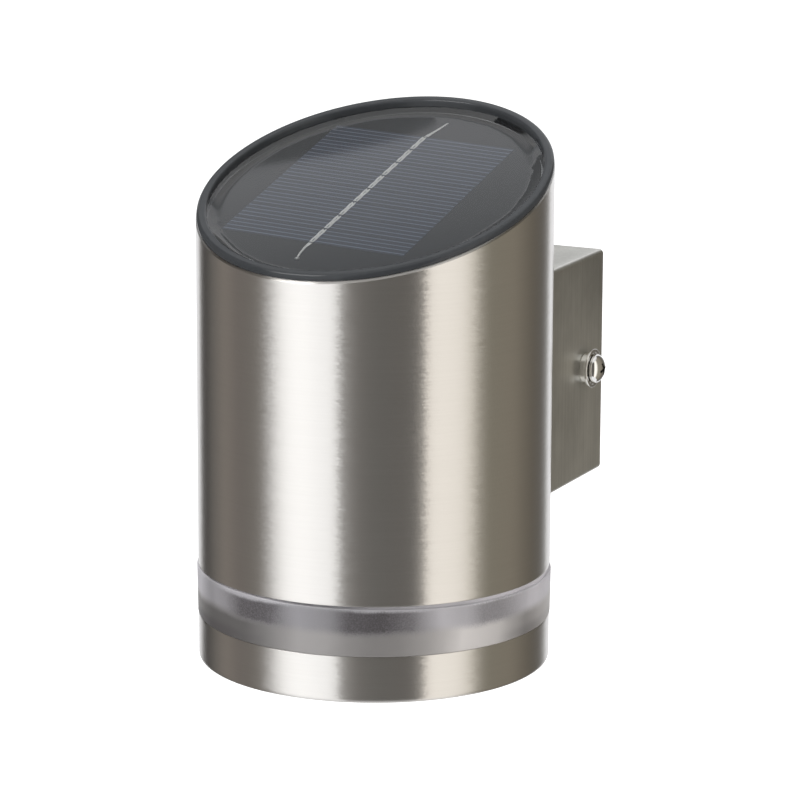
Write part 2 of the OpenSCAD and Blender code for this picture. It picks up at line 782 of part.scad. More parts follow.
// White moulded carrier: the deck that closes the tube, its posts, bosses and standoffs
module unit_carrier() {
  pilot_r = small_screw_d / 2 + thread_gap;
  post_h = z_spigot - z_flange_top;
  color("white") difference() {
    union() {
      on_axis() translate([0, 0, z_spigot]) cylinder(r = lens_ri + deck_over, h = deck_t);
      on_axis() translate([0, 0, z_spigot - deck_ring_h]) difference() {
        cylinder(r = lens_ri - fit_gap, h = deck_ring_h + deck_t / 2);
        translate([0, 0, -cut]) cylinder(r = lens_ri - fit_gap - 1.5, h = deck_ring_h + cut);
      }
      at_posts() translate([0, 0, z_flange_top]) cylinder(d = post_d, h = post_h + deck_t / 2);
      at_led_screws() translate([0, 0, z_led_top]) cylinder(r = led_boss_r, h = led_boss_h + deck_t / 2);
      at_board_screws() translate([0, 0, z_deck - deck_t / 2])
        cylinder(r = standoff_r, h = standoff_h + deck_t / 2);
    }
    at_posts() translate([0, 0, z_flange_top - cut])
      cylinder(r = cap_screw_d / 2 + thread_gap, h = cap_screw_l + cut);
    at_led_screws() translate([0, 0, z_led_top - cut]) cylinder(r = pilot_r, h = led_screw_l - 1 + cut);
    at_board_screws() translate([0, 0, z_deck - 0.5]) cylinder(r = pilot_r, h = standoff_h + cut);
    at_holder_screws() translate([0, 0, z_spigot - cut]) cylinder(r = pilot_r, h = deck_t + 2 * cut);
    on_axis() translate([0, lead_hole_y, z_spigot - cut]) cylinder(d = lead_hole_d, h = deck_t + 2 * cut);
  }
}

// Ring-shaped light board that hangs under the deck
module led_board() {
  color([0.93, 0.93, 0.9]) difference() {
    on_axis() translate([0, 0, z_led]) cylinder(r = led_board_r, h = led_board_t);
    on_axis() translate([0, 0, z_led - cut]) cylinder(r = lead_hole_d / 2 + 2, h = led_board_t + 2 * cut);
    at_led_screws() translate([0, 0, z_led - cut])
      cylinder(r = small_screw_d / 2 + hole_play, h = led_board_t + 2 * cut);
  }
}

// Light chips on the underside of the board, each with a lens face
module led_chips() {
  color([0.96, 0.9, 0.55]) on_axis()
    for (i = [0:led_count - 1])
      rotate([0, 0, 360 * (i + 0.5) / led_count]) translate([led_ring_r, 0, z_led]) {
        translate([-1.75, -1.4, -1.4]) cube([3.5, 2.8, 1.4]);
        translate([0, 0, -1.9]) cylinder(d = 2.3, h = 1);
      }
}

// Screws that hold the light board to the deck
module led_screws() {
  color("gainsboro") at_led_screws() translate([0, 0, z_led]) mirror([0, 0, 1])
    dome_screw(small_screw_d, led_screw_l, small_head_d, small_head_h);
}

// White cone that turns the light outwards through the band
module reflector_cone() {
  top_r = cone_top_d / 2;
  color("white") difference() {
    on_axis() rotate_extrude() polygon([
      [cone_r - 2 * cone_t, z_flange], [flange_r, z_flange], [flange_r, z_flange_top],
      [cone_r, z_flange_top], [top_r, z_cone_top], [top_r - 1.5, z_cone_top],
      [top_r - 1.5, z_cone_top - cone_t], [cone_r - 2 * cone_t, z_flange_top - cone_t / 2]
    ]);
    at_posts() translate([0, 0, z_flange - cut])
      cylinder(r = cap_screw_d / 2 + hole_play, h = flange_t + 2 * cut);
  }
}

// Countersunk screws that clamp cap, cone, band and carrier together
module cap_screws() {
  color("gainsboro") at_posts() translate([0, 0, z_cap + seat_gap])
    flat_screw(cap_screw_d, cap_screw_l, 2 * dimple_top - 0.6);
}

// Open holder for two cells side by side
module battery_holder() {
  color([0.15, 0.15, 0.16]) on_axis() difference() {
    translate([-holder_l / 2, holder_y - holder_w / 2, z_deck]) cube([holder_l, holder_w, holder_h]);
    for (bay = [-1, 1])
      translate([-holder_l / 2 + holder_wall, holder_y + bay * bay_y - bay_w / 2, z_deck + holder_floor])
        cube([holder_l - 2 * holder_wall, bay_w, holder_h]);
    for (side = [-1, 1])
      translate([side * battery_l / 4 - 6, holder_y - holder_w, z_deck + holder_floor + battery_d * 0.45])
        cube([12, 2 * holder_w, holder_h]);
    for (side = [-1, 1], bay = [-1, 1])
      if (side == bay)
        translate([side * battery_l / 4, holder_y + bay * bay_y, z_deck - cut])
          cylinder(r = small_screw_d / 2 + hole_play, h = holder_floor + 2 * cut);
  }
}

// Screws through the holder's floor, with thin heads under the cells
module holder_screws() {
  color("gainsboro") at_holder_screws() translate([0, 0, z_deck + holder_floor]) {
    translate([0, 0, -holder_floor - deck_t + 0.2]) cylinder(d = small_screw_d, h = holder_floor + deck_t);
    translate([0, 0, -0.8]) cylinder(d = small_screw_d, h = 0.9);
  }
}

// One cell with its nub towards +X
module battery(y) {
  nub = 1.5;
  on_axis() translate([battery_x, y, battery_z]) rotate([0, 90, 0]) {
    cylinder(d = battery_d, h = battery_l - nub);
    translate([0, 0, battery_l - nub - 0.01]) cylinder(d = 5.5, h = nub);
  }
}
module battery_front() {
  color("seagreen") battery(holder_y - bay_y);
}
module battery_rear() {
  color("seagreen") mirror([1, 0, 0]) battery(holder_y + bay_y);
}

// Flat contacts at both ends of each bay
module contact_plates() {
  side_w = battery_d * 0.7;
  color([0.8, 0.78, 0.7]) on_axis()
    for (bay = [-1, 1], end = [-1, 1])
      translate([
        end * (holder_l / 2 - holder_wall - contact_t / 2) - contact_t / 2,
        holder_y + bay * bay_y - side_w / 2, z_deck + holder_floor + 0.1
      ])
        cube([contact_t, side_w, battery_d * 0.85]);
}

// Coil springs that press the cells against the far contacts
spring_turns = 3;
spring_wire = 0.7;
spring_foot_r = 4.2;
spring_tip_r = 2.6;
spring_x0 = -holder_l / 2 + holder_wall + contact_t + spring_wire / 2;
spring_x1 = battery_x - spring_wire / 2 - 0.05;
function spring_route(y) = [
  for (i = [0:36 * spring_turns])
    let (t = i / (36 * spring_turns), r = spring_foot_r + (spring_tip_r - spring_foot_r) * t)
      if (i % 3 == 0)
        [spring_x0 + (spring_x1 - spring_x0) * t, y + r * cos(10 * i), battery_z + r * sin(10 * i)]
];
module contact_springs() {
  color([0.8, 0.78, 0.7]) on_axis()
    for (bay = [0, 1])
      mirror([bay, 0, 0]) wire(spring_route(holder_y + (2 * bay - 1) * bay_y), spring_wire, [1, 0, 0], 6);
}

// Control board beside the battery holder
module control_board() {
  color([0.1, 0.35, 0.2]) difference() {
    on_axis() translate([-board_l / 2, board_front, z_board]) cube([board_l, board_w, board_t]);
    at_board_screws() translate([0, 0, z_board - cut])
      cylinder(r = small_screw_d / 2 + hole_play, h = board_t + 2 * cut);
  }
}

// Charger chip, coil, capacitor, diode and resistors on the board
module board_parts() {
  color([0.2, 0.2, 0.2]) on_axis() translate([0, board_y, z_board_top]) {
    translate([-board_l / 5, -part_row, 0]) cylinder(d = can_d, h = can_h);
    translate([board_l / 4.4, -part_row, 0]) cylinder(d = coil_d, h = coil_h);
    translate([-chip_l / 2, chip_inset - board_w / 2, 0]) cube([chip_l, chip_w, chip_h]);
    translate([diode_inset - board_l / 2, -part_row, 0]) cube([diode_l, diode_w, diode_h]);
    for (i = [0:3])
      translate([resistor_pitch * i - resistor_row, 0, 0]) cube([resistor_l, resistor_w, resistor_h]);
  }
}

// Socket that the solar lead's plug stands in
module board_socket() {
  color("ivory") on_axis() translate([0, socket_y, z_board_top]) {
    difference() {
      translate([-socket_l / 2, -socket_w / 2, 0]) cube([socket_l, socket_w, socket_h]);
      translate([-socket_l / 2 + socket_wall, -socket_w / 2 + socket_wall, 1])
        cube([socket_l - 2 * socket_wall, socket_w - 2 * socket_wall, socket_h]);
    }
    for (side = [-1, 1])
      translate([side * 1.25, 0, 0]) cylinder(d = 0.64, h = 4.4);
  }
}

// Screws of the control board
module board_screws() {
  color("gainsboro") at_board_screws() translate([0, 0, z_board_top])
    dome_screw(small_screw_d, board_screw_l, small_head_d, small_head_h);
}

// Pair of leads: one wire each side of a route that runs across x
module lead_pair(route, side) {
  on_axis()
    for (s = [-1, 1])
      translate(s * (lead_d / 2 + 0.1) * side) wire(smooth_route(route, 3), lead_d, side);
}

// Leads from the holder's rear wall over to the control board
holder_back = holder_rear - holder_wall / 2;
battery_lead_x = 4;
battery_route = [
  [battery_lead_x, holder_back, holder_top + lead_end], [battery_lead_x, holder_back, holder_top + 0.8],
  [battery_lead_x, holder_back, holder_top + 1.6], [battery_lead_x, holder_back + 2, holder_top + 2.8],
  [battery_lead_x, lead_row - 1, z_board_top + 9], [battery_lead_x, lead_row, z_board_top + 4],
  [battery_lead_x, lead_row, z_board_top + 1], [battery_lead_x, lead_row, z_board_top + lead_end]
];
module battery_leads() {
  color("firebrick") lead_pair(battery_route, [1, 0, 0]);
}

// Leads from the control board down through the deck to the light board
led_lead_x = -lead_side - 0.4;
led_lead_y = lead_row + 0.5;
led_route = [
  [-lead_side, lead_row, z_board - lead_end], [-lead_side, lead_row, z_board - 0.8],
  [-lead_side, lead_row, z_board - 1.6], [led_lead_x, led_lead_y, z_deck],
  [led_lead_x, led_lead_y, z_led_top + 1.6], [led_lead_x, led_lead_y, z_led_top + 0.8],
  [led_lead_x, led_lead_y, z_led_top + lead_end]
];
module led_leads() {
  color("dimgray") lead_pair(led_route, [1, 0, 0]);
}

// Leads from the switch up through the cone and the deck to the control board
switch_top = z_floor + switch_h;
switch_route = [
  [0, switch_y, switch_top + lead_end], [0, switch_y, switch_top + 0.8], [0, switch_y, switch_top + 1.6],
  [0, switch_y + 3, switch_top + 5],
  [lead_side, 0, z_cone_top - 6], [lead_side, 3, z_cone_top], [lead_side, 4, z_led],
  [lead_side, 4.6, z_led_top],
  [lead_side, lead_hole_y - 2, z_spigot + 0.2], [lead_side, lead_hole_y - 0.4, z_deck + 0.4],
  [lead_side, lead_row, z_board - 1.4], [lead_side, lead_row, z_board - 0.7],
  [lead_side, lead_row, z_board - lead_end]
];
module switch_leads() {
  color("dimgray") lead_pair(switch_route, [1, 0, 0]);
}

// Slide switch on the cap's floor: a body with a slot for the knob and two screw ears
module switch_body() {
  color([0.75, 0.75, 0.75]) on_axis() translate([0, switch_y, z_floor]) difference() {
    union() {
      translate([-switch_l / 2, -switch_w / 2, 0]) cube([switch_l, switch_w, switch_h]);
      translate([-switch_l / 2 - switch_ear, -switch_w / 2, 0])
        cube([switch_l + 2 * switch_ear, switch_w, switch_ear_t]);
    }
    translate([-stem_room / 2, -slot_w / 2, -cut]) cube([stem_room, slot_w, 2.4 + cut]);
    translate([-stem_room / 2 - knob_shoulder, -slot_w / 2 - 0.8, 1])
      cube([stem_room + 2 * knob_shoulder, slot_w + 1.6, 2]);
    for (side = [-1, 1])
      translate([side * switch_hole_x, 0, -cut])
        cylinder(d = switch_screw_d + 2 * thread_gap, h = switch_ear_t + 2 * cut);
  }
}

// Screws that hold the switch, put in from under the cap
module switch_screws() {
  color("gainsboro") on_axis()
    for (side = [-1, 1])
      translate([side * switch_hole_x, switch_y, z_cap]) mirror([0, 0, 1])
        dome_screw(switch_screw_d, switch_screw_l, switch_head_d, knob_out);
}

// Sliding knob, at its off end at rest, moving towards +X
module switch_knob() {
  off_x = -switch_travel / 2;
  color([0.12, 0.12, 0.12]) on_axis() translate([off_x, switch_y, 0]) {
    translate([-knob_l / 2, -knob_w / 2, z_cap - knob_out]) cube([knob_l, knob_w, knob_out + cap_t + 2]);
    translate([-knob_l / 2 - knob_shoulder + seat_gap, -knob_w / 2 - 0.7, z_floor + 1.15])
      cube([knob_l + 2 * knob_shoulder - 2 * seat_gap, knob_w + 1.4, 1.6]);
  }
}

tube_body();
solar_tray();
tray_seal();
panel_board();
cell_strips();
cell_ribbons();
panel_resin();
solar_lead();
lead_plug();
bracket_box();
bracket_screws();
bracket_nuts();
wall_plate();
ear_nuts();
side_collars();
bottom_cap();
lens_ring();
upper_seal();
lower_seal();
unit_carrier();
led_board();
led_chips();
led_screws();
reflector_cone();
cap_screws();
battery_holder();
holder_screws();
battery_front();
battery_rear();
contact_plates();
contact_springs();
control_board();
board_parts();
board_socket();
board_screws();
battery_leads();
led_leads();
switch_body();
switch_screws();
switch_leads();
switch_knob();
side_washer_right();
side_washer_left();
side_screw_right();
side_screw_left();
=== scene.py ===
from math import cos, pi, radians, sin, sqrt, tan, tau

import bmesh
import bpy
from mathutils import Matrix, Vector


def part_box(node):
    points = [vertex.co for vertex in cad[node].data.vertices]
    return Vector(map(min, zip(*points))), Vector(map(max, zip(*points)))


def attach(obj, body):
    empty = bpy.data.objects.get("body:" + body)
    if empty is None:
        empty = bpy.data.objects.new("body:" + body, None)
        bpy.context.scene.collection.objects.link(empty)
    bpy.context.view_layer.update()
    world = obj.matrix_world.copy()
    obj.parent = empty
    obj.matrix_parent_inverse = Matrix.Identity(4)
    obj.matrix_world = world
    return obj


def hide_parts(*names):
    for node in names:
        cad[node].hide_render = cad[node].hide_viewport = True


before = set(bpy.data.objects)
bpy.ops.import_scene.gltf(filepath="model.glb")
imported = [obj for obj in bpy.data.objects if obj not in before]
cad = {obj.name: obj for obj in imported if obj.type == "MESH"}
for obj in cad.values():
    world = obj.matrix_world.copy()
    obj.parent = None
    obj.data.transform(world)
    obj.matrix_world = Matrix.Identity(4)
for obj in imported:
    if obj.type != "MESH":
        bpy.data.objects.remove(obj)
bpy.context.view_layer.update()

# ---- Camera
# It stands about one metre away, to the right of the light's front and a little above it,
# and looks at the middle of the tube. The last three turns are the small lean of a hand-held frame.
axis_y, distance = -0.0775, 1.0007
aim = Vector((0, axis_y, 0.0025))
camera_side = radians(25.97)
camera_lift = radians(12.92)
towards_camera = Vector((
    sin(camera_side) * cos(camera_lift),
    -cos(camera_side) * cos(camera_lift),
    sin(camera_lift)))
ahead = -towards_camera
right = Vector((cos(camera_side), sin(camera_side), 0))
above = right.cross(ahead)
yaw = Matrix.Rotation(radians(-0.37), 3, above)
ahead, right = yaw @ ahead, yaw @ right
pitch = Matrix.Rotation(radians(-0.05), 3, right)
ahead, above = pitch @ ahead, pitch @ above
roll = Matrix.Rotation(radians(-0.15), 3, ahead)
right, above = roll @ right, roll @ above


def add_object(name, data):
    """A new object of the scene, with its data."""
    made = bpy.data.objects.new(name, data)
    bpy.context.scene.collection.objects.link(made)
    return made


camera = add_object("camera", bpy.data.cameras.new("camera"))
camera.data.lens = 177.4
camera.data.sensor_width = 36
camera.data.clip_start = 0.01
camera.matrix_world = (Matrix.Translation(aim + towards_camera * distance)
                       @ Matrix((right, above, -ahead)).transposed().to_4x4())
bpy.context.scene.camera = camera
bpy.context.scene.view_settings.view_transform = "Standard"


# ---- Studio
# A pale floor, a white surround, and a wrap of cards round the light: a tall neutral softbox on the
# left, a warm one on the right, and dark drapes between and beside them, which the steel mirrors.
class Shade:
    """A socket of a node tree. Sums on it are written as Python and add their Math nodes."""

    def __init__(self, socket):
        self.socket = socket

    def node(self, kind, settings=None, sockets=None, out=0):
        """Adds a node to the same tree: its settings first, then the values or links of its sockets."""
        tree = self.socket.id_data
        made = tree.nodes.new(kind)
        for name, setting in (settings or {}).items():
            if name == "stops":
                ramp = made.color_ramp.elements
                while len(ramp) < len(setting):
                    ramp.new(0.5)
                for stop, (place_on_ramp, colour) in zip(ramp, setting):
                    stop.position, stop.color = place_on_ramp, colour
            else:
                setattr(made, name, setting)
        for name, value in (sockets or {}).items():
            if isinstance(value, Shade):
                tree.links.new(value.socket, made.inputs[name])
            else:
                made.inputs[name].default_value = value
        return Shade(made.outputs[out])

    def beside(self, name):
        """Another output of the node that this socket belongs to."""
        return Shade(self.socket.node.outputs[name])

    def sum(self, operation, *values):
        """A Math node of any kind on some values or Shades."""
        return self.node("ShaderNodeMath", {"operation": operation}, dict(enumerate(values)))

    def __add__(self, other):
        return self.sum("ADD", self, other)

    def __sub__(self, other):
        return self.sum("SUBTRACT", self, other)

    def __rsub__(self, other):
        return self.sum("SUBTRACT", other, self)

    def __mul__(self, other):
        return self.sum("MULTIPLY", self, other)

    __radd__ = __add__
    __rmul__ = __mul__


world = bpy.data.worlds.new("white_surround")
bpy.context.scene.world = world
world.use_nodes = True
air = Shade(world.node_tree.nodes["World Output"].inputs["Surface"])
seen = air.node("ShaderNodeLightPath", out="Is Camera Ray")
mirrored = seen.sum("MAXIMUM", seen.beside("Is Glossy Ray"), seen.beside("Is Transmission Ray"))
strength = 0.55 + 0.45 * seen.sum("MAXIMUM", seen, mirrored)
# above the backdrop's top edge the room is dimmer, as the clear resin shows
sight = air.node("ShaderNodeTexCoord", out="Generated")
lift = sight.node("ShaderNodeVectorMath", {"operation": "DOT_PRODUCT"}, {0: sight, 1: (-0.19, 0, 1)}, out="Value")
ceiling = lift.node("ShaderNodeValToRGB", {"stops": [
    (0.0, (1.06, 1.07, 1.1, 1)), (0.036, (1.04, 1.06, 1.09, 1)), (0.138, (0.79, 0.81, 0.83, 1)),
    (0.222, (0.56, 0.58, 0.6, 1)), (0.32, (0.66, 0.67, 0.69, 1)), (0.5, (0.95, 0.95, 0.97, 1)),
    (1.0, (1.0, 1.0, 1.0, 1))]}, {"Fac": 10.0 * (lift - 0.76)})
glossy = seen.beside("Is Glossy Ray")
hue = glossy.node("ShaderNodeMix", {"data_type": "RGBA"}, {0: glossy, 6: (1, 1, 1, 1), 7: ceiling}, out=2)
shine = air.node("ShaderNodeBackground", None, {"Color": hue, "Strength": strength})
world.node_tree.links.new(shine.socket, air.socket)


def stage_card(name, points, faces):
    """A floor or card of the studio, from points in metres."""
    mesh = bpy.data.meshes.new(name)
    mesh.from_pydata(points, [], faces)
    card = add_object(name, mesh)
    return card


def bare_material(name):
    """A material whose only node is its output; gives the material and the output's surface socket."""
    made = bpy.data.materials.new(name)
    made.use_nodes = True
    made.node_tree.nodes.clear()
    end = made.node_tree.nodes.new("ShaderNodeOutputMaterial")
    return made, Shade(end.inputs["Surface"])


def mirror_cloth(name, strength, colour=None, sampling="NONE"):
    """A material that shines in one colour, or else in the glow painted on its card."""
    cloth, end = bare_material(name)
    glow = colour or end.node("ShaderNodeAttribute", {"attribute_name": "glow"}, out="Color")
    shine = end.node("ShaderNodeEmission", None, {"Color": glow, "Strength": strength})
    cloth.node_tree.links.new(shine.socket, end.socket)
    cloth.cycles.emission_sampling = sampling
    return cloth


def mirror_card(name, points, faces, cloth, glow=None):
    """A card that shows only as a reflection, with a painted glow of RGBA values if given."""
    card = stage_card(name, points, faces)
    if glow:
        card.data.attributes.new("glow", "FLOAT_COLOR", "POINT").data.foreach_set("color", glow)
    card.data.materials.append(cloth)
    card.visible_camera = card.visible_diffuse = card.visible_shadow = card.visible_transmission = False


# the floor lies below the lowest point that the light unit reaches when it is pulled out
floor_z = -0.14
studio_floor = stage_card("studio_floor", [
    (-4, -4, floor_z), (4, -4, floor_z), (4, 6, floor_z), (-4, 6, floor_z)], [(0, 1, 2, 3)])
floor_paint, end = bare_material("floor_paint")
looked_at = end.node("ShaderNodeLightPath", out="Is Camera Ray")
matt = end.node("ShaderNodeBsdfDiffuse", None, {"Color": (0.86, 0.86, 0.86, 1)})
whiter = end.node("ShaderNodeEmission", None, {"Color": (1, 1, 1, 1), "Strength": looked_at * 0.62})
pale_floor = end.node("ShaderNodeAddShader", None, {0: matt, 1: whiter})
# from below it is clear, so that the light's underside can be looked at
under = looked_at * end.node("ShaderNodeNewGeometry", out="Backfacing")
clear = end.node("ShaderNodeBsdfTransparent")
one_sided = end.node("ShaderNodeMixShader", None, {0: under, 1: pale_floor, 2: clear})
floor_paint.node_tree.links.new(one_sided.socket, end.socket)
studio_floor.data.materials.append(floor_paint)
studio_floor.visible_glossy = studio_floor.visible_transmission = False

# angle round the light from the camera's side, in degrees, and the wrap's colour there
wrap_stops = [
    (-154, 1.0, 1.0, 1.0), (-152, 0.9, 0.9, 0.9), (-149.5, 0.11, 0.1, 0.095), (-140, 0.055, 0.052, 0.05),
    (-128, 0.2, 0.19, 0.18), (-112, 0.31, 0.28, 0.255), (-97, 0.22, 0.2, 0.19), (-86, 0.24, 0.225, 0.21),
    (-79, 0.29, 0.275, 0.26), (-75, 0.45, 0.44, 0.43), (-71, 0.78, 0.78, 0.79), (-65, 1.32, 1.33, 1.35),
    (-59.5, 1.5, 1.52, 1.55), (-52, 1.58, 1.6, 1.64), (-30, 1.52, 1.54, 1.58), (-25, 1.36, 1.37, 1.39),
    (-21, 0.34, 0.33, 0.32), (-10, 0.17, 0.16, 0.15), (2, 0.13, 0.125, 0.115), (20, 0.13, 0.12, 0.11),
    (31, 0.15, 0.14, 0.13), (34.2, 1.3, 1.24, 1.16), (38, 1.38, 1.33, 1.26), (58, 1.36, 1.31, 1.24),
    (64.5, 1.14, 1.09, 1.0), (71, 0.52, 0.49, 0.43), (78, 0.3, 0.28, 0.23), (100, 0.31, 0.28, 0.23),
    (120, 0.19, 0.17, 0.14), (134, 0.15, 0.14, 0.125), (144, 0.19, 0.18, 0.17), (147, 0.5, 0.5, 0.5),
    (150, 0.8, 0.8, 0.8)]
wrap_cloth = mirror_cloth("wrap_cloth", 1.0)


def wrap_glow(angle):
    """The wrap's colour at an angle."""
    for (a, *low), (b, *high) in zip(wrap_stops, wrap_stops[1:]):
        if angle <= b:
            return [x + (y - x) * (angle - a) / (b - a) for x, y in zip(low, high)]


def curved_card(name, radius, heights, columns):
    """An upright card bent round the light's axis, from columns of (angle, its colour at each height)."""
    points = [(radius * sin(around), axis_y - radius * cos(around), height)
              for around, colours in columns for height in heights]
    glow = [value for around, colours in columns for colour in colours for value in (*colour, 1.0)]
    rows = len(heights)
    faces = [(i + k, i + rows + k, i + rows + k + 1, i + k + 1)
             for i in range(0, rows * (len(columns) - 1), rows) for k in range(rows - 1)]
    mirror_card(name, points, faces, wrap_cloth, glow)


curved_card("studio_wrap", 1.7, (-2.4, 2.4), [
    (camera_side + radians(angle), [wrap_glow(angle)] * 2)
    for angle in range(wrap_stops[0][0], wrap_stops[-1][0] + 1)])

# a grey flag stands behind on the left, up to the height where the backdrop begins to show in the resin
mirror_card("studio_flag", [
    (-1.046, 0.714, 0.2), (-0.655, 0.916, 0.2), (-0.655, 0.916, 1.12), (-0.664, 0.911, 1.145), (-0.683, 0.901, 1.149),
    (-0.708, 0.889, 1.149), (-0.729, 0.878, 1.147), (-0.755, 0.864, 1.141), (-1.046, 0.714, 1.09)],
    [tuple(range(9))], mirror_cloth("flag_cloth", 1.0, (0.44, 0.45, 0.46, 1)))

# a low dark drape stands behind on the right, which the resin's rising edge in front mirrors
drape_glow = [[grey] * 3 for grey in (0.62, 0.62, 0.12, 0.22, 0.6)]
curved_card("studio_drape", 1.19, (0.05, 0.36, 0.42, 0.8, 0.93), [
    (radians(-146.6 - 13.4 * step / 16), drape_glow) for step in range(17)])

# a bright strip overhead gives the fine line of light along the tray's inner edge
mirror_card("studio_strip", [
    (-0.98, -0.5, 1.384), (-0.42, -0.5, 1.384), (-0.42, -0.95, 1.15), (-0.98, -0.95, 1.15)],
    [(0, 1, 2, 3)], mirror_cloth("strip_glow", 8.5, (1, 1, 1, 1), "FRONT_BACK"))

# three lamps without a reflection: angle round from the camera's side, height, width, depth, colour, power
for name, angle, height, wide, deep, tint, power in (
        ("left_softbox", -47, 0.35, 0.9, 1.5, (1, 1, 1), 5.0),
        ("right_softbox", 52, 0.35, 0.9, 1.5, (1, 0.96, 0.9), 6.0),
        ("top_softbox", -101, 2.64, 0.7, 0.5, (1, 1, 1), 10.0)):
    lamp = add_object(name, bpy.data.lights.new(name, "AREA"))
    lamp.data.shape = "RECTANGLE"
    lamp.data.size, lamp.data.size_y = wide, deep
    lamp.data.color, lamp.data.energy = tint, power
    lamp.visible_glossy = lamp.visible_transmission = lamp.visible_camera = False
    around = camera_side + radians(angle)
    outwards = Vector((sin(around), -cos(around), height)).normalized()
    lamp.matrix_world = (Matrix.Translation(Vector((0, axis_y, 0)) + 1.6 * outwards)
                         @ outwards.to_track_quat("Z", "Y").to_matrix().to_4x4())


# ---- Tube
# A welded stainless steel tube, 90 mm across with a 1 mm wall, cut square below and on a slope above,
# brushed round its whole length. Two bolt holes in its back take the canopy.
def eased(corners, steps=4, hold=0.35):
    """A closed outline whose corners (x, y, radius, lean) are rounded. A point is held on the straight
    at each side of a corner, so that the long faces stay true in the light."""
    outline = []
    for i, (x, y, r, lean) in enumerate(corners):
        here = Vector((x, y))
        back = Vector(corners[i - 1][:2]) - here
        on = Vector(corners[(i + 1) % len(corners)][:2]) - here
        a, b = back.normalized(), on.normalized()
        half = a.angle(b, pi) / 2
        run = r / tan(half) if r else 0.0
        held_back = min(run + hold, back.length * 0.45)
        held_on = min(run + hold, on.length * 0.45)
        if held_back > run:
            outline.append((*(here + a * held_back), lean))
        if r:
            centre = here + (a + b).normalized() * (r / sin(half))
            start, stop = here + a * run - centre, here + b * run - centre
            sweep = start.angle(stop)
            for k in range(steps + 1):
                t = k / steps
                spoke = (start * sin((1 - t) * sweep) + stop * sin(t * sweep)) / sin(sweep)
                outline.append((*(centre + spoke), lean))
        else:
            outline.append((x, y, lean))
        if held_on > run:
            outline.append((*(here + b * held_on), lean))
    return outline


def new_tree(name, **sizes):
    """A Geometry Nodes tree with named inputs, which come back as Shades."""
    tree = bpy.data.node_groups.new(name, "GeometryNodeTree")
    tree.interface.new_socket("Geometry", in_out="INPUT", socket_type="NodeSocketGeometry")
    for size, kind in sizes.items():
        tree.interface.new_socket(size, in_out="INPUT", socket_type="NodeSocket" + kind)
    tree.interface.new_socket("Geometry", in_out="OUTPUT", socket_type="NodeSocketGeometry")
    given = tree.nodes.new("NodeGroupInput")
    return tree, {s.name: Shade(s) for s in given.outputs if s.name}


def end_tree(tree, shape, material):
    """Realizes the tree's instances, gives the shape its material and passes it out."""
    real = shape.node("GeometryNodeRealizeInstances", None, {0: shape})
    painted = real.node("GeometryNodeSetMaterial", None, {"Geometry": real, "Material": material})
    tree.links.new(painted.socket, tree.nodes.new("NodeGroupOutput").inputs[0])


def grown(name, base, tree, sharp=32, **sizes):
    """The plain mesh that a tree makes from a base mesh, as an object of that name."""
    seed = add_object(name + "_seed", base)
    step = seed.modifiers.new("grow", "NODES")
    step.node_group = tree
    for socket in tree.interface.items_tree:
        if socket.in_out == "INPUT" and socket.name in sizes:
            step[socket.identifier] = sizes[socket.name]
    shaped = seed.evaluated_get(bpy.context.evaluated_depsgraph_get())
    mesh = bpy.data.meshes.new_from_object(shaped)
    bpy.data.objects.remove(seed)
    mesh.name = name
    mesh.set_sharp_from_angle(angle=radians(sharp))
    return add_object(name, mesh)


# The turning tree sweeps a profile round an axis. Lean says how far a point follows the slope,
# and wave how far it wanders in and out, as the edge of a poured or moulded part does.
turning, size = new_tree("turning", Radius="Float", Segments="Int", Slope="Vector", Wave="Float",
                         Turn="Rotation", Place="Vector", Finish="Material")
profile_curve = size["Geometry"].node("GeometryNodeMeshToCurve", None, {0: size["Geometry"]})
circle = profile_curve.node("GeometryNodeCurvePrimitiveCircle", None,
                            {"Resolution": size["Segments"], "Radius": size["Radius"]})
upright = circle.node("GeometryNodeSetCurveNormal", {"mode": "Z_UP"}, {"Curve": circle})
swept = upright.node("GeometryNodeCurveToMesh", None, {"Curve": upright, "Profile Curve": profile_curve})
lean = swept.node("GeometryNodeInputNamedAttribute", {"data_type": "FLOAT"}, {"Name": "lean"})
wave = swept.node("GeometryNodeInputNamedAttribute", {"data_type": "FLOAT"}, {"Name": "wave"})
where = swept.node("GeometryNodeInputPosition")
flat = where.node("ShaderNodeVectorMath", {"operation": "MULTIPLY"}, {0: where, 1: (1, 1, 0)})
spoke = flat.node("ShaderNodeVectorMath", {"operation": "NORMALIZE"}, {0: flat})
wander = spoke.node("ShaderNodeTexNoise", None, {"Vector": spoke, "Scale": 3.4, "Detail": 3.0})
reach = wave * size["Wave"] * (wander - 0.5)
waved = swept.node("GeometryNodeSetPosition", None, {
    "Geometry": swept,
    "Offset": spoke.node("ShaderNodeVectorMath", {"operation": "SCALE"}, {0: spoke, "Scale": reach})})
climb = flat.node("ShaderNodeVectorMath", {"operation": "DOT_PRODUCT"}, {0: flat, 1: size["Slope"]}, out="Value")
leant = waved.node("GeometryNodeSetPosition", None, {
    "Geometry": waved,
    "Offset": climb.node("ShaderNodeCombineXYZ", None, {"Z": climb * lean})})
closed = leant.node("GeometryNodeMergeByDistance", None, {"Geometry": leant, "Distance": 1e-6})
placed = closed.node("GeometryNodeTransform", None, {
    "Geometry": closed, "Rotation": size["Turn"], "Translation": size["Place"]})
end_tree(turning, placed, size["Finish"])


# in millimetres: the tube's axis, the slope of its cut, the cut's height on the axis, the bolts' heights
# and the radius of a hole that an M4 screw goes through
tube_y = -77.5
cut_slope = radians(19.3)
slope_rise, slope_grow = tan(cut_slope), 1 / cos(cut_slope)
cut_z = 56.3
bolt_heights, m4_hole_r = (15, -15), 2.25


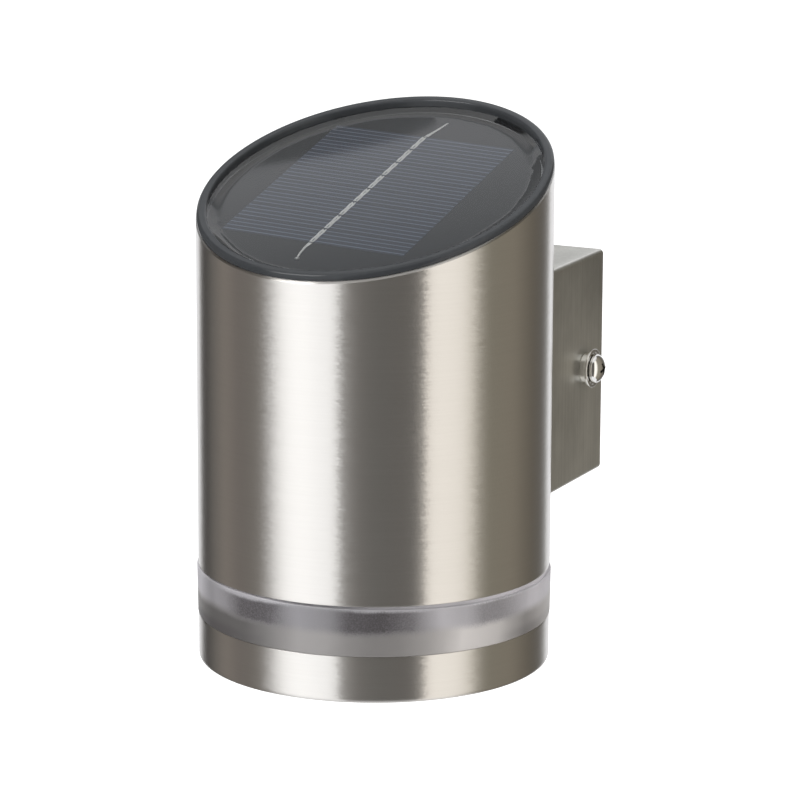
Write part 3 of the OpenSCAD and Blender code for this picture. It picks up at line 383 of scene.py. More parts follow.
def turned(name, outline, finish, segments=256, slope=(0, 0, 0), wave=0.0, turn=(0, 0, 0),
           place=(0, tube_y, 0), sharp=32):
    """A turned piece from a closed outline of (radius, height, lean[, wave]) points in millimetres.
    An edge that lies on the axis is left out, since it would make no face."""
    area = sum(a[0] * b[1] - b[0] * a[1] for a, b in zip(outline, outline[1:] + outline[:1]))
    if area > 0:
        outline = outline[::-1]
    core = max(p[0] for p in outline) * 0.5
    base = bpy.data.meshes.new(name + "_profile")
    count = len(outline)
    off_axis = [(i, (i + 1) % count) for i in range(count) if outline[i][0] or outline[(i + 1) % count][0]]
    base.from_pydata([((p[0] - core) / 1000, -p[1] / 1000, 0) for p in outline], off_axis, [])
    for k, trait in ((2, "lean"), (3, "wave")):
        base.attributes.new(trait, "FLOAT", "POINT").data.foreach_set(
            "value", [float(p[k]) if len(p) > k else 0.0 for p in outline])
    return grown(name, base, turning, sharp, Radius=core / 1000, Segments=segments, Slope=slope,
                 Wave=wave / 1000, Turn=turn, Place=[v / 1000 for v in place], Finish=finish)


def fit(piece, body, slot, *replaced):
    """The piece rides on its body and stands for the solids named, which are hidden. The slot is not used."""
    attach(piece, body)
    if replaced:
        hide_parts(*replaced)
    return piece


def shaft(name, radius, start, stop):
    """A plain round cutter between two points in millimetres, taken away again by drilled()."""
    start, stop = Vector(start), Vector(stop)
    cutter = bmesh.new()
    bmesh.ops.create_cone(cutter, cap_ends=True, segments=48, radius1=radius / 1000, radius2=radius / 1000,
                          depth=(stop - start).length / 1000)
    turn = (stop - start).to_track_quat("Z", "Y").to_matrix().to_4x4()
    cutter.transform(Matrix.Translation((start + stop) / 2000) @ turn)
    mesh = bpy.data.meshes.new(name)
    cutter.to_mesh(mesh)
    cutter.free()
    return add_object(name, mesh)


def drilled(piece, *drills):
    """The piece with each drill's shape cut out of it; the drills are thrown away."""
    for drill in drills:
        hole = piece.modifiers.new("hole", "BOOLEAN")
        hole.operation, hole.solver, hole.object = "DIFFERENCE", "EXACT", drill
    shaped = piece.evaluated_get(bpy.context.evaluated_depsgraph_get())
    mesh = bpy.data.meshes.new_from_object(shaped)
    mesh.set_sharp_from_angle(angle=radians(32))
    piece.modifiers.clear()
    piece.data = mesh
    mesh.name = piece.name
    for drill in drills:
        bpy.data.objects.remove(drill)
    return piece


class Skin:
    """A finish: a material and its Principled shader, whose sockets take a value or a Shade by name."""

    def __init__(self, name):
        self.material = bpy.data.materials.new(name)
        self.material.use_nodes = True
        nodes = self.material.node_tree.nodes
        self.shader = nodes["Principled BSDF"]
        self.place = Shade(nodes.new("ShaderNodeTexCoord").outputs["Object"])

    def __setitem__(self, name, value):
        socket = self.shader.inputs[name]
        if isinstance(value, Shade):
            self.shader.id_data.links.new(value.socket, socket)
        else:
            socket.default_value = value

    def noise(self, scale, detail=2.0, rough=0.5):
        """Noise from 0 to 1, with the repeats per metre along x, y and z."""
        stretched = self.place.node("ShaderNodeMapping", None, {"Vector": self.place, "Scale": scale})
        return stretched.node("ShaderNodeTexNoise", None, {
            "Vector": stretched, "Scale": 1.0, "Detail": detail, "Roughness": rough})

    def tint(self, share, low, high):
        """A colour between two, by a share from 0 to 1."""
        return self.place.node("ShaderNodeMix", {"data_type": "RGBA"}, {0: share, 6: (*low, 1), 7: (*high, 1)}, out=2)

    def bump(self, height, depth):
        """A normal from a height pattern, with its depth in millimetres."""
        return self.place.node("ShaderNodeBump", None, {
            "Height": height, "Distance": depth / 1000, "Strength": 1.0}, out="Normal")

    def dress(self, *nodes):
        """Gives the finish to solids of the frame that are shown as they are."""
        for node in nodes:
            cad[node].material_slots[0].material = self.material


tube_steel = Skin("brushed_tube_steel")
hairs = tube_steel.noise((70, 70, 5200), 3.0, 0.6)
streaks = tube_steel.noise((26, 26, 1500), 3.0, 0.55)
clouds = tube_steel.noise((40, 40, 25), 2.0)
tone = (hairs - 0.5) * 0.5 + (streaks - 0.5) * 0.5 + 0.5
tube_steel["Base Color"] = tube_steel.tint(tone, (0.585, 0.565, 0.535), (0.655, 0.635, 0.605))
tube_steel["Metallic"] = 1.0
tube_steel["Roughness"] = 0.26 + 0.04 * hairs + 0.02 * clouds
tube_steel["Anisotropic"] = 1.0
tube_steel["Anisotropic Rotation"] = 0.25
# the brushing also tips the surface a little to each side, which frays the edges of the light bands
facing = tube_steel.place.node("ShaderNodeNewGeometry", out="Normal")
sideways = facing.node("ShaderNodeVectorMath", {"operation": "CROSS_PRODUCT"}, {0: (0, 0, 1), 1: facing})
fray = (tube_steel.noise((420, 420, 4200), 2.0, 0.6) - 0.5) * 0.06 + (streaks - 0.5) * 0.02
fray = fray + (tube_steel.noise((2400, 2400, 3800), 2.0, 0.7) - 0.5) * 0.07
tipped = facing.node("ShaderNodeVectorMath", {"operation": "SCALE"}, {0: sideways, "Scale": fray})
tipped = facing.node("ShaderNodeVectorMath", {"operation": "ADD"}, {0: facing, 1: tipped})
# and the edge below the cut, which lies 78.75 mm up square to the slope, is rubbed soft and catches the light
up_slope = (0, -1000 * sin(cut_slope), 1000 * cos(cut_slope))
off_cut = tube_steel.place.node("ShaderNodeVectorMath", {"operation": "DOT_PRODUCT"}, {
    0: tube_steel.place, 1: up_slope}, out="Value")
rubbed = off_cut.node("ShaderNodeMapRange", {"interpolation_type": "SMOOTHSTEP"}, {
    "Value": off_cut, "From Min": 78.0, "From Max": 78.7})
tipped = facing.node("ShaderNodeVectorMath", {"operation": "ADD"}, {
    0: tipped, 1: facing.node("ShaderNodeCombineXYZ", None, {"Z": 5.5 * rubbed})})
tube_steel["Normal"] = facing.node("ShaderNodeVectorMath", {"operation": "NORMALIZE"}, {0: tipped})

tube = turned("tube", eased([
    (44, -40.3, 0.12, 0), (45, -40.3, 0.25, 0), (45, cut_z, 0.3, 1), (44, cut_z, 0.12, 1)]),
    tube_steel.material, segments=288, slope=(0, slope_rise, 0))
drilled(tube, *[shaft("bolt_hole", m4_hole_r, (0, -38, z), (0, -28, z)) for z in bolt_heights])
fit(tube, "lamp_body", "brushed_tube_steel", "tube_body")

# ---- Solar tray and its seal
# A gloss black moulded ring with a rounded lip, a pocket for the panel and a skirt that goes down
# inside the tube. A rubber ring in the skirt's groove holds and seals it.
black_gloss = Skin("black_plastic")
peel = black_gloss.noise((900, 900, 900), 2.0)
scuff = black_gloss.noise((260, 260, 260), 4.0, 0.65)
black_gloss["Base Color"] = black_gloss.tint(scuff, (0.038, 0.041, 0.045), (0.057, 0.061, 0.066))
black_gloss["Roughness"] = 0.09 + 0.07 * scuff
black_gloss["Specular IOR Level"] = 0.18
black_gloss["Normal"] = black_gloss.bump(peel, 0.006)


def on_slope(corners):
    """Corners of (radius, depth square to the slope, rounding), as heights that lean with the slope."""
    return [(r, cut_z + n * slope_grow, ease, 1) for r, n, ease in corners]


tray = turned("tray_rim", eased(on_slope([
    (43.7, -9, 0.3), (43.7, -7.5, 0), (42.7, -7.5, 0.1), (42.7, -5.5, 0.1), (43.7, -5.5, 0), (43.7, 0, 0),
    (44.9, 0, 0.15), (44.9, 1.36, 0.9), (42.3, 1.36, 0.65), (42.3, -3.6, 0.2), (3, -3.6, 0.1), (3, -5.1, 0.1),
    (41.7, -5.1, 0.5), (41.7, -9, 0.3)])), black_gloss.material, slope=(0, slope_rise, 0))
fit(tray, "lamp_body", "black_plastic", "solar_tray")


def grained(name, low, high, rough, scale=700, metal=0.0, depth=0.01, spread=0.15, detail=3.0, fine=0.6):
    """A finish between two close colours: one noise tints it, varies its gloss and, with a depth, dents it."""
    skin = Skin(name)
    grain = skin.noise((scale, scale, scale), detail, fine)
    skin["Base Color"] = skin.tint(grain, low, high)
    skin["Roughness"] = rough + spread * grain
    skin["Metallic"] = metal
    if depth:
        skin["Normal"] = skin.bump(grain, depth)
    return skin


rubber = grained("seal_rubber", (0.018, 0.018, 0.018), (0.045, 0.044, 0.042), 0.62, 700, 0.0, 0.02, 0.25, 4.0, 0.7)
tray_seal = turned("tray_seal_ring", eased(on_slope([
    (42.8, -7.4, 0.2), (43.95, -7.4, 0.55), (43.95, -5.6, 0.55), (42.8, -5.6, 0.2)])),
    rubber.material, segments=160, slope=(0, slope_rise, 0))
fit(tray_seal, "lamp_body", "seal_rubber", "tray_seal")

# ---- Panel board, silicon strips and ribbon
# A black laminate board in the tray carries eight silicon strips, each with printed silver fingers.
# One tinned ribbon is soldered along their middle in short lengths and runs out past both ends.
laminate = grained("panel_laminate", (0.012, 0.013, 0.015), (0.026, 0.028, 0.032), 0.5, 500, 0.0, 0, 0.2, 4.0, 0.7)
laminate["Specular IOR Level"] = 0.2
laminate.dress("panel_board")

# the slope's frame, and the cell's, which lies a little askew; then the faces of board, strips and ribbon in it
slope_frame = Matrix.Translation((0, tube_y, cut_z)) @ Matrix.Rotation(cut_slope, 4, "X")
cell_frame = slope_frame @ Matrix.Translation((-2.7, 1.7, 0)) @ Matrix.Rotation(radians(-5.5), 4, "Z")
panel_n, strip_n, ribbon_n = -2.6, -2.3, -2.15


def in_metres(name, shape):
    """The mesh of a bmesh in millimetres, smooth and with its faces turned outwards."""
    bmesh.ops.recalc_face_normals(shape, faces=shape.faces)
    shape.transform(Matrix.Scale(0.001, 4))
    for face in shape.faces:
        face.smooth = True
    mesh = bpy.data.meshes.new(name)
    shape.to_mesh(mesh)
    shape.free()
    return mesh


def mesh_piece(name, shape, finish):
    """An object from a bmesh in millimetres, with its doubles merged."""
    bmesh.ops.remove_doubles(shape, verts=shape.verts, dist=1e-4)
    mesh = in_metres(name, shape)
    mesh.set_sharp_from_angle(angle=radians(32))
    mesh.materials.append(finish.material)
    return add_object(name, mesh)


def bridge(shape, near, far):
    """Adds the faces between two rings with as many points."""
    for i in range(len(near)):
        j = (i + 1) % len(near)
        shape.faces.new((near[i], near[j], far[j], far[i]))


def prism(shape, outline, low, high, frame_of=Matrix.Identity(4)):
    """Adds an upright prism on an outline of (x, y) points, in a frame."""
    below, above_it = [[shape.verts.new(frame_of @ Vector((x, y, z))) for x, y in outline] for z in (low, high)]
    shape.faces.new(below[::-1])
    shape.faces.new(above_it)
    bridge(shape, below, above_it)


def oblong(x0, y0, x1, y1):
    """The outline of a rectangle."""
    return [(x0, y0), (x1, y0), (x1, y1), (x0, y1)]


silicon = grained("silicon_cell", (0.03, 0.044, 0.075), (0.05, 0.062, 0.084), 0.3, 60, 0.2, 0, 0.15, 2.0, 0.5)
silicon["Specular IOR Level"] = 0.25
silver = grained("printed_silver", (0.15, 0.18, 0.255), (0.235, 0.265, 0.345), 0.45, 1500, 0.3, 0, 0.2, 3.0, 0.7)

# The row tree: one small piece repeated along a line, then laid in a frame
row, size = new_tree("row", Count="Int", Step="Vector", Turn="Rotation", Place="Vector", Finish="Material")
places = size["Geometry"].node("GeometryNodeMeshLine", {"mode": "OFFSET"}, {
    "Count": size["Count"], "Offset": size["Step"]})
copies = places.node("GeometryNodeInstanceOnPoints", None, {"Points": places, "Instance": size["Geometry"]})
laid = copies.node("GeometryNodeTransform", None, {
    "Geometry": copies, "Rotation": size["Turn"], "Translation": size["Place"]})
end_tree(row, laid, size["Finish"])


def in_row(name, unit, finish, count, step, frame_of):
    """Copies of a small piece, a bmesh in millimetres, along a line in a frame."""
    return grown(name, in_metres(name + "_unit", unit), row, Count=count, Step=[v / 1000 for v in step],
                 Turn=tuple(frame_of.to_euler()), Place=list(frame_of.to_translation() / 1000),
                 Finish=finish.material)


strips, strip_pitch, strip_start = 8, 7.2, -28.675
strip = bmesh.new()
prism(strip, oblong(-26.45, strip_start, 26.45, strip_start + 6.95), panel_n, strip_n)
cell = in_row("cell", strip, silicon, strips, (0, strip_pitch, 0), cell_frame)
fit(cell, "lamp_body", "silicon_cell", "cell_strips")
fingers = bmesh.new()
for k in range(4):
    line = strip_start + 0.85 + 1.75 * k
    prism(fingers, oblong(-26.3, line - 0.14, 26.3, line + 0.14), strip_n - 0.01, strip_n + 0.02)
prints = in_row("fingers", fingers, silver, strips, (0, strip_pitch, 0), cell_frame)
fit(prints, "lamp_body", "silicon_cell")

solder = grained("tinned_ribbon", (0.58, 0.57, 0.54), (1.0, 0.99, 0.96), 0.35, 900, 0.75, 0.05, 0.25)
# each length has a raised rail at each side and four flat rungs between them
length = bmesh.new()
start, end_y = -28.64, -21.76
for side in (-1, 1):
    rail = [(side * 0.16, start + 0.3), (side * 0.58, start + 0.05), (side * 0.72, start + 1.6),
            (side * 0.6, start + 3.4), (side * 0.74, end_y - 1.6), (side * 0.56, end_y - 0.05),
            (side * 0.14, end_y - 0.3), (side * 0.06, start + 3.2)]
    prism(length, rail if side > 0 else rail[::-1], strip_n, ribbon_n + 0.04)
for y, half in ((0.35, 0.2), (2.3, 0.35), (3.5, 0.5), (5.9, 0.3)):
    prism(length, oblong(-0.4, start + y - half, 0.4, start + y + half), strip_n, ribbon_n)
ribbon = in_row("ribbon", length, solder, strips, (0, strip_pitch, 0), cell_frame)
fit(ribbon, "lamp_body", "tinned_ribbon", "cell_ribbons")

# its bare tails taper away, and the lower one ends in a dot of solder
tails = bmesh.new()
for line in (((-0.55, 0.55, -28.9), (-0.5, 0.15, -31.2), (-0.05, 0.45, -34.4), (0.5, 0.9, -36.4)),
             ((-0.35, 0.85, 28.9), (0.2, 1.05, 30.4), (1.05, 1.75, 33.4), (1.9, 2.4, 37.0))):
    side = 1 if line[0][2] > 0 else -1
    outline = [(b, y) for a, b, y in line] + [(a, y) for a, b, y in line[::-1]]
    prism(tails, outline if side > 0 else outline[::-1], panel_n, strip_n + 0.05, cell_frame)
bmesh.ops.create_uvsphere(tails, u_segments=24, v_segments=12, radius=0.66,
                          matrix=cell_frame @ Matrix.Translation((0.76, -36.6, panel_n + 0.05)))
fit(mesh_piece("ribbon_tails", tails, solder), "lamp_body", "tinned_ribbon")

# ---- Clear resin
# Poured over the cell in the tray's pocket, level and glossy. It has crept up the wall all round, in a
# hollow curve that is wider in some places than in others.
resin = grained("clear_resin", (0.9, 0.93, 0.95), (0.95, 0.96, 0.97), 0.02, 60, 0.0, 0, 0.02, 2.0, 0.5)
resin["Transmission Weight"] = 1.0
resin["IOR"] = 1.55
# the edge rises in a hollow curve and then straight up to the wall, and wanders only near it
resin_top, creep, wall_r = -1.0, 0.31, 42.3
edge = []
for r in (12, 24, 30, 33, 36, 38, 38.5, 38.9, 39.3, 39.7, 40.1, 40.5, 40.9, 41.3, 41.8, 42.4):
    from_wall = wall_r - r
    up = creep * (2.5 - from_wall) if from_wall < 1.2 else creep / 5.2 * max(0.0, 3.8 - from_wall) ** 2
    edge.append((r, resin_top + up, min(1.0, (r - 30) / 6, from_wall / 3) if r > 30 else 0.0))
pool = turned("resin_pool", [(r, cut_z + n * slope_grow, 1, w) for r, n, w in (
    [(0, resin_top, 0)] + edge + [(42.4, resin_top - 0.4, 0), (42.4, -2.7, 0), (0, -2.7, 0)])],
    resin.material, slope=(0, slope_rise, 0), wave=1.4, sharp=60)
fit(pool, "lamp_body", "clear_resin", "panel_resin")

# ---- Canopy
# Stainless sheet folded to a square sleeve, coped in front to the round of the tube, with a tab bent
# down from its top and one up from its floor for the bolts. Its grain runs up and down.
sheet = Skin("canopy_steel")
grain = sheet.noise((1000, 1000, 26), 4.0, 0.65)
smudge = sheet.noise((45, 45, 30), 4.0, 0.6)
# its grain and smudges are its own; it is also painted paler towards its foot, a painted reflection of light from
# below, and paler on the faces that look up, painted light from above
height_for_painted_light = sheet.place.node("ShaderNodeSeparateXYZ", None, {"Vector": sheet.place}, out="Z")
looks = sheet.place.node("ShaderNodeNewGeometry", out="Normal")
upward_for_painted_light = looks.node("ShaderNodeSeparateXYZ", None, {"Vector": looks}, out="Z")
grain_and_painted_light = 0.5 + 0.7 * (grain - 0.5) + 1.3 * (smudge - 0.5) - 12 * height_for_painted_light + 0.45 * upward_for_painted_light
# the tint's share carries the painted light as well as the grain
sheet["Base Color"] = sheet.tint(grain_and_painted_light, (0.4, 0.398, 0.37), (0.77, 0.765, 0.72))
sheet["Metallic"] = 1.0
sheet["Roughness"] = 0.3 + 0.1 * grain + 0.08 * smudge
sheet["Normal"] = sheet.bump(grain, 0.008)


def square_line(half, fold, across=24):
    """Points round a square with round folds, anticlockwise from the lower right."""
    line = []
    for cx, cz, first in ((1, -1, -90), (1, 1, 0), (-1, 1, 90), (-1, -1, 180)):
        for k in range(9):
            a = radians(first + 90 * k / 8)
            line.append(((half - fold) * cx + fold * cos(a), (half - fold) * cz + fold * sin(a)))
        start, run = Vector(line[-1]), 2 * (half - fold)
        along = Vector((cos(radians(first + 180)), sin(radians(first + 180))))
        for k in range(1, across):
            line.append(tuple(start + along * run * k / across))
    return line


# the cope's radius, the side screws' place, and the shares of the way from the front edge to the wall
cope_r, side_y = 45.04, -11.5
stations = (0.0, 0.012, 0.12, 0.3, 0.5, 0.7, 0.88, 0.988, 1.0)
sleeve = bmesh.new()
skins = []
for line in (square_line(30, 1.2), square_line(29, 0.3)):
    fronts = [tube_y + sqrt(cope_r ** 2 - x * x) for x, z in line]
    skins.append([[sleeve.verts.new((x, front * (1 - share), z)) for (x, z), front in zip(line, fronts)]
                  for share in stations])
for rings in skins:
    for near, far in zip(rings, rings[1:]):
        bridge(sleeve, near, far)
for end_ring in (0, -1):
    bridge(sleeve, skins[0][end_ring], skins[1][end_ring])
# the two tabs, one from the top and one from the floor
bend = [(-31.2, 29.6), (-31.2, 10.5), (-31.2, 9.5), (-32.2, 9.5), (-32.2, 10.5), (-32.2, 28.6), (-32.0, 29.3),
        (-31.5, 29.6)]
for side in (1, -1):
    fold_frame = Matrix(((0, 0, 1, 0), (1, 0, 0, 0), (0, side, 0, 0), (0, 0, 0, 1)))
    prism(sleeve, bend, -8, 8, fold_frame)
canopy = mesh_piece("canopy", sleeve, sheet)
bevel = canopy.modifiers.new("eased_edges", "BEVEL")
bevel.width, bevel.segments, bevel.limit_method, bevel.angle_limit = 0.00022, 2, "ANGLE", radians(50)
drilled(canopy, shaft("side_hole", m4_hole_r, (-40, side_y, 0), (40, side_y, 0)),
        *[shaft("tab_hole", m4_hole_r, (0, -36, z), (0, -26, z)) for z in bolt_heights])
fit(canopy, "lamp_body", "canopy_steel", "bracket_box")

# ---- Wall plate, bolts and nuts
# A zinc plated plate with an ear folded forward on each side. M4 bolts from inside the tube hold the
# canopy, and the side screws' nuts are welded inside the ears.
zinc = Skin("zinc_steel")
spangle = zinc.noise((220, 220, 220), 4.0, 0.65)
rub = zinc.noise((1600, 1600, 1600), 2.0)
zinc["Base Color"] = zinc.tint(0.5 + 1.6 * (spangle - 0.5), (0.4, 0.42, 0.44), (0.68, 0.69, 0.71))
zinc["Metallic"] = 1.0
zinc["Roughness"] = 0.28 + 0.14 * spangle + 0.06 * rub
zinc["Normal"] = zinc.bump(rub, 0.008)
zinc.dress("wall_plate", "bracket_screws", "bracket_nuts", "ear_nuts", "led_screws", "cap_screws",
           "holder_screws", "board_screws", "switch_screws")

# ---- Side screws, washers and collars
# On each side a polished collar stands on the canopy, a flanged washer lies on it, and a domed M4
# screw with a cross recess goes through both into the ear's nut.
polish = Skin("polished_steel")
wipe = polish.noise((300, 1400, 300), 3.0, 0.6)
polish["Base Color"] = polish.tint(wipe, (0.7, 0.69, 0.67), (0.82, 0.81, 0.78))
polish["Metallic"] = 1.0
polish["Roughness"] = 0.07 + 0.07 * wipe
polish["Normal"] = polish.bump(wipe, 0.004)
m4_pitch = 0.7
for side, sign in (("right", 1), ("left", -1)):
    turn = (0, radians(90 * sign), 0)
    collar = turned("collar_" + side, eased([
        (m4_hole_r, 0, 0.1, 0), (4.2, 0, 0.25, 0), (4.1, 1.8, 0.3, 0), (m4_hole_r, 1.8, 0.1, 0)]),
        polish.material, 72, turn=turn, place=(30 * sign, side_y, 0))
    fit(collar, "lamp_body", "polished_steel", "side_collars")
    washer = turned("washer_ring_" + side, eased([
        (2.05, 0, 0.1, 0), (5.15, 0, 0.2, 0), (5.15, 0.8, 0.28, 0), (4.35, 0.8, 0.15, 0), (4.1, 0.5, 0.15, 0),
        (2.05, 0.5, 0.1, 0)], 5, 0.1),
        polish.material, 96, turn=turn, place=(31.8 * sign, side_y, 0))
    fit(washer, "washer_" + side, "polished_steel", "side_washer_" + side)
    dome = [(3.85 * cos(radians(a)), 0.4 + 2.4 * sin(radians(a)), 0) for a in range(0, 91, 6)]
    dome[-1] = (0, 2.8, 0)
    shank = [(0, -11, 0), (1.6, -11, 0), (1.98, -10.5, 0)]
    for thread in range(14):
        z = -10.4 + m4_pitch * thread
        shank += [(1.98, z, 0), (1.98, z + 0.1, 0), (1.68, z + 0.35, 0), (1.98, z + 0.6, 0)]
    screw = turned("screw_" + side, shank + [(1.98, -0.2, 0), (2.0, 0, 0), (3.7, 0, 0), (3.85, 0.15, 0)]
                   + dome, polish.material, 96, turn=turn, place=(32.6 * sign, side_y, 0))
    arms = []
    for arm in (0, 90):
        recess = bmesh.new()
        upon = (Matrix.Translation((35.5 * sign, side_y, 0)) @ Matrix.Rotation(radians(18 + arm), 4, "X")
                @ Matrix.Rotation(radians(90 * sign), 4, "Y"))
        prism(recess, oblong(-1.75, -0.38, 1.75, 0.38), -1.7, 1.0, upon)
        arms.append(mesh_piece("recess", recess, polish))
    drilled(screw, *arms)
    fit(screw, "screw_" + side, "polished_steel", "side_screw_" + side)

# ---- Light band
# A frosted plastic ring, cloudy and faintly mauve, that stands a little proud of the steel. Its
# spigots go up into the tube and down into the cap, each with a rubber ring in a groove.
frosted = Skin("frosted_plastic")
frost = frosted.noise((2600, 2600, 2600), 3.0, 0.65)
cloud = frosted.noise((70, 70, 70), 3.0, 0.6)
middle = frosted.place.node("ShaderNodeVectorMath", {"operation": "SUBTRACT"}, {
    0: frosted.place, 1: (0, axis_y, -0.047)})
apart = middle.node("ShaderNodeSeparateXYZ", None, {"Vector": middle}, out="X")
round_share = 0.5 + (1 / tau) * apart.sum("ARCTAN2", apart, 0 - apart.beside("Y")) + 0.016 * (cloud - 0.5)
level = apart.beside("Z") * 1000 + 1.6 * (cloud - 0.5) + 1.2 * (frost - 0.5)


def round_ramp(*stops):
    """A grey value that changes round the ring, by the share of the turn, for the band's painted reflections and
    painted shade.
    """
    return round_share.node("ShaderNodeValToRGB", {
        "stops": [(at, (grey, grey, grey, 1)) for at, grey in stops]}, {"Fac": round_share})


def rise(low, high):
    """From 0 to 1 between two heights in millimetres from the band's middle."""
    return level.node("ShaderNodeMapRange", {"interpolation_type": "SMOOTHSTEP"}, {
        "Value": level, "From Min": low, "From Max": high})


# the tone round the ring is the moulding's milkiness together with a painted reflection of the studio, lighter in
# some places and darker in others, and dark patches of painted shade stand for the dark inside showing through
low_tone_painted_reflection = round_ramp(
    (0.0, 0.42), (0.12, 0.5), (0.25, 0.38), (0.364, 0.31), (0.392, 0.19), (0.42, 0.19), (0.447, 0.2), (0.475, 0.32),
    (0.503, 0.5), (0.53, 0.49), (0.55, 0.39), (0.572, 0.35), (0.594, 0.37), (0.614, 0.47), (0.633, 0.62),
    (0.653, 0.9), (0.672, 0.86), (0.692, 0.8), (0.711, 0.57), (0.731, 0.39), (0.753, 0.54), (0.775, 0.68),
    (0.88, 0.45), (1.0, 0.42))
high_tone_painted_reflection = round_ramp(
    (0.0, 0.5), (0.12, 0.6), (0.25, 0.55), (0.364, 0.82), (0.392, 0.48), (0.42, 0.7), (0.475, 0.7), (0.503, 0.48),
    (0.53, 0.44), (0.55, 0.48), (0.572, 0.6), (0.594, 0.62), (0.614, 0.65), (0.633, 0.7), (0.653, 0.66),
    (0.672, 0.82), (0.692, 0.92), (0.711, 0.94), (0.731, 0.84), (0.753, 1.0), (0.775, 1.05), (0.88, 0.6), (1.0, 0.5))
painted_dark_patches = round_ramp(
    (0.0, 0.3), (0.08, 0.1), (0.17, 0.6), (0.27, 0.1), (0.4, 0.05), (0.443, 0.92), (0.475, 0.95), (0.503, 0.1),
    (0.53, 0.25), (0.55, 0.95), (0.58, 1.0), (0.605, 0.75), (0.63, 0.05), (0.655, 0.15), (0.675, 0.66), (0.695, 0.66),
    (0.712, 0.5), (0.735, 0.05), (0.84, 0.4), (0.92, 0.0), (1.0, 0.3))
low_painted_shade_ramp = round_ramp(
    (0.0, 0.0), (0.2, 0.2), (0.34, 0.35), (0.364, 0.55), (0.392, 0.6), (0.42, 0.5), (0.447, 0.15), (0.475, 0.0),
    (0.69, 0.0), (0.72, 0.25), (0.745, 0.35), (0.775, 0.15), (0.9, 0.0))
upper = rise(-1.2, 1.6)
milk_and_painted_reflection = painted_dark_patches.node("ShaderNodeMix", None, {0: upper, 2: low_tone_painted_reflection, 3: high_tone_painted_reflection})
pale = frosted.tint(upper, (1.0, 0.96, 0.945), (0.975, 0.95, 1.0))
tone_and_painted_reflection = milk_and_painted_reflection.node("ShaderNodeMix", {"data_type": "RGBA"}, {0: milk_and_painted_reflection, 6: (0, 0, 0, 1), 7: pale}, out=2)
# painted shade: dark patches in the upper part and a darker stretch low down, as shares of a dark grey mixed into the
# colour
painted_shade_share = painted_dark_patches * rise(-1.3, 1.2) * (1 - rise(5.0, 6.0)) * (0.62 + 0.7 * frost)
low_painted_shade_share = low_painted_shade_ramp * (1 - rise(-4.6, -2.4))
painted_shade_share = painted_shade_share.sum("MAXIMUM", painted_shade_share, low_painted_shade_share)
frosted["Base Color"] = tone_and_painted_reflection.node("ShaderNodeMix", {"data_type": "RGBA"}, {
    0: painted_shade_share, 6: tone_and_painted_reflection, 7: (0.115, 0.105, 0.112, 1)}, out=2)
frosted["Metallic"] = 0.12
frosted["Roughness"] = 0.36 + 0.14 * frost
frosted["Transmission Weight"] = 0.35
frosted["IOR"] = 1.5
frosted["Normal"] = frosted.bump(frost, 0.03)
# its top edge leans a little to one side
tilt_side, tilt_rise = camera_side + radians(105), 0.55 / 45
tilt = (tilt_rise * sin(tilt_side), -tilt_rise * cos(tilt_side), 0)
band = turned("light_band", eased([
    (41.5, -57, 0.2, 0), (43.7, -57, 0.2, 0), (43.7, -56, 0, 0), (42.7, -56, 0.1, 0), (42.7, -54, 0.1, 0),
    (43.7, -54, 0, 0), (43.7, -53, 0, 0), (45.1, -53, 0.3, 0), (45.3, -41.02, 0.35, -1), (44.6, -41.02, 0.1, -1),
    (44.6, -40.3, 0, 0), (43.7, -40.3, 0, 0), (43.7, -37.8, 0, 0), (42.7, -37.8, 0.1, 0), (42.7, -35.8, 0.1, 0),
    (43.7, -35.8, 0, 0), (43.7, -33.3, 0.2, 0), (41.5, -33.3, 0.2, 0)]),
    frosted.material, slope=tilt)
fit(band, "light_unit", "frosted_plastic", "lens_ring")
rubber.dress("upper_seal", "lower_seal")

# ---- Cap
# Drawn from the same steel as the tube and brushed round, with three dimples underneath for its
# countersunk screws and a slot for the switch.
cap = turned("cap_shell", eased([
    (0, -65, 0, 0), (44.95, -65, 1.0, 0), (44.95, -53, 0.25, 0), (44.15, -53, 0.12, 0), (44.15, -64.2, 0.3, 0),
    (0, -64.2, 0, 0)]), tube_steel.material)
post_r = 37
posts = [(post_r * cos(radians(a)), tube_y + post_r * sin(radians(a))) for a in (90, 210, 330)]
slot_y = tube_y - 16
ear_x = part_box("switch_screws")[1][0] * 1000 - 1.8
slot_cut = bmesh.new()
prism(slot_cut, [(2.8 * s + 1.4 * cos(radians(a)), slot_y + 1.4 * sin(radians(a)))
                 for s, first in ((1, -90), (-1, 90)) for a in range(first, first + 181, 15)], -66, -63)
drilled(cap, mesh_piece("slot_cut", slot_cut, tube_steel),
        *[shaft("post_cut", 3.4, (x, y, -66), (x, y, -63)) for x, y in posts],
        *[shaft("ear_cut", 1.1, (x, slot_y, -66), (x, slot_y, -63)) for x in (ear_x, -ear_x)])
fit(cap, "light_unit", "brushed_tube_steel", "bottom_cap")
for i, (x, y) in enumerate(posts):
    dimple = turned("cap_dimple_%d" % (i + 1), eased([
        (1.75, -63.0, 0.1, 0), (2.5, -63.0, 0.3, 0), (3.75, -64.5, 0.3, 0), (3.75, -64.9, 0.1, 0),
        (3.25, -64.98, 0.1, 0), (1.75, -63.5, 0.2, 0)], 4, 0.1), tube_steel.material, 72, place=(x, y, 0))
    fit(dimple, "light_unit", "brushed_tube_steel")

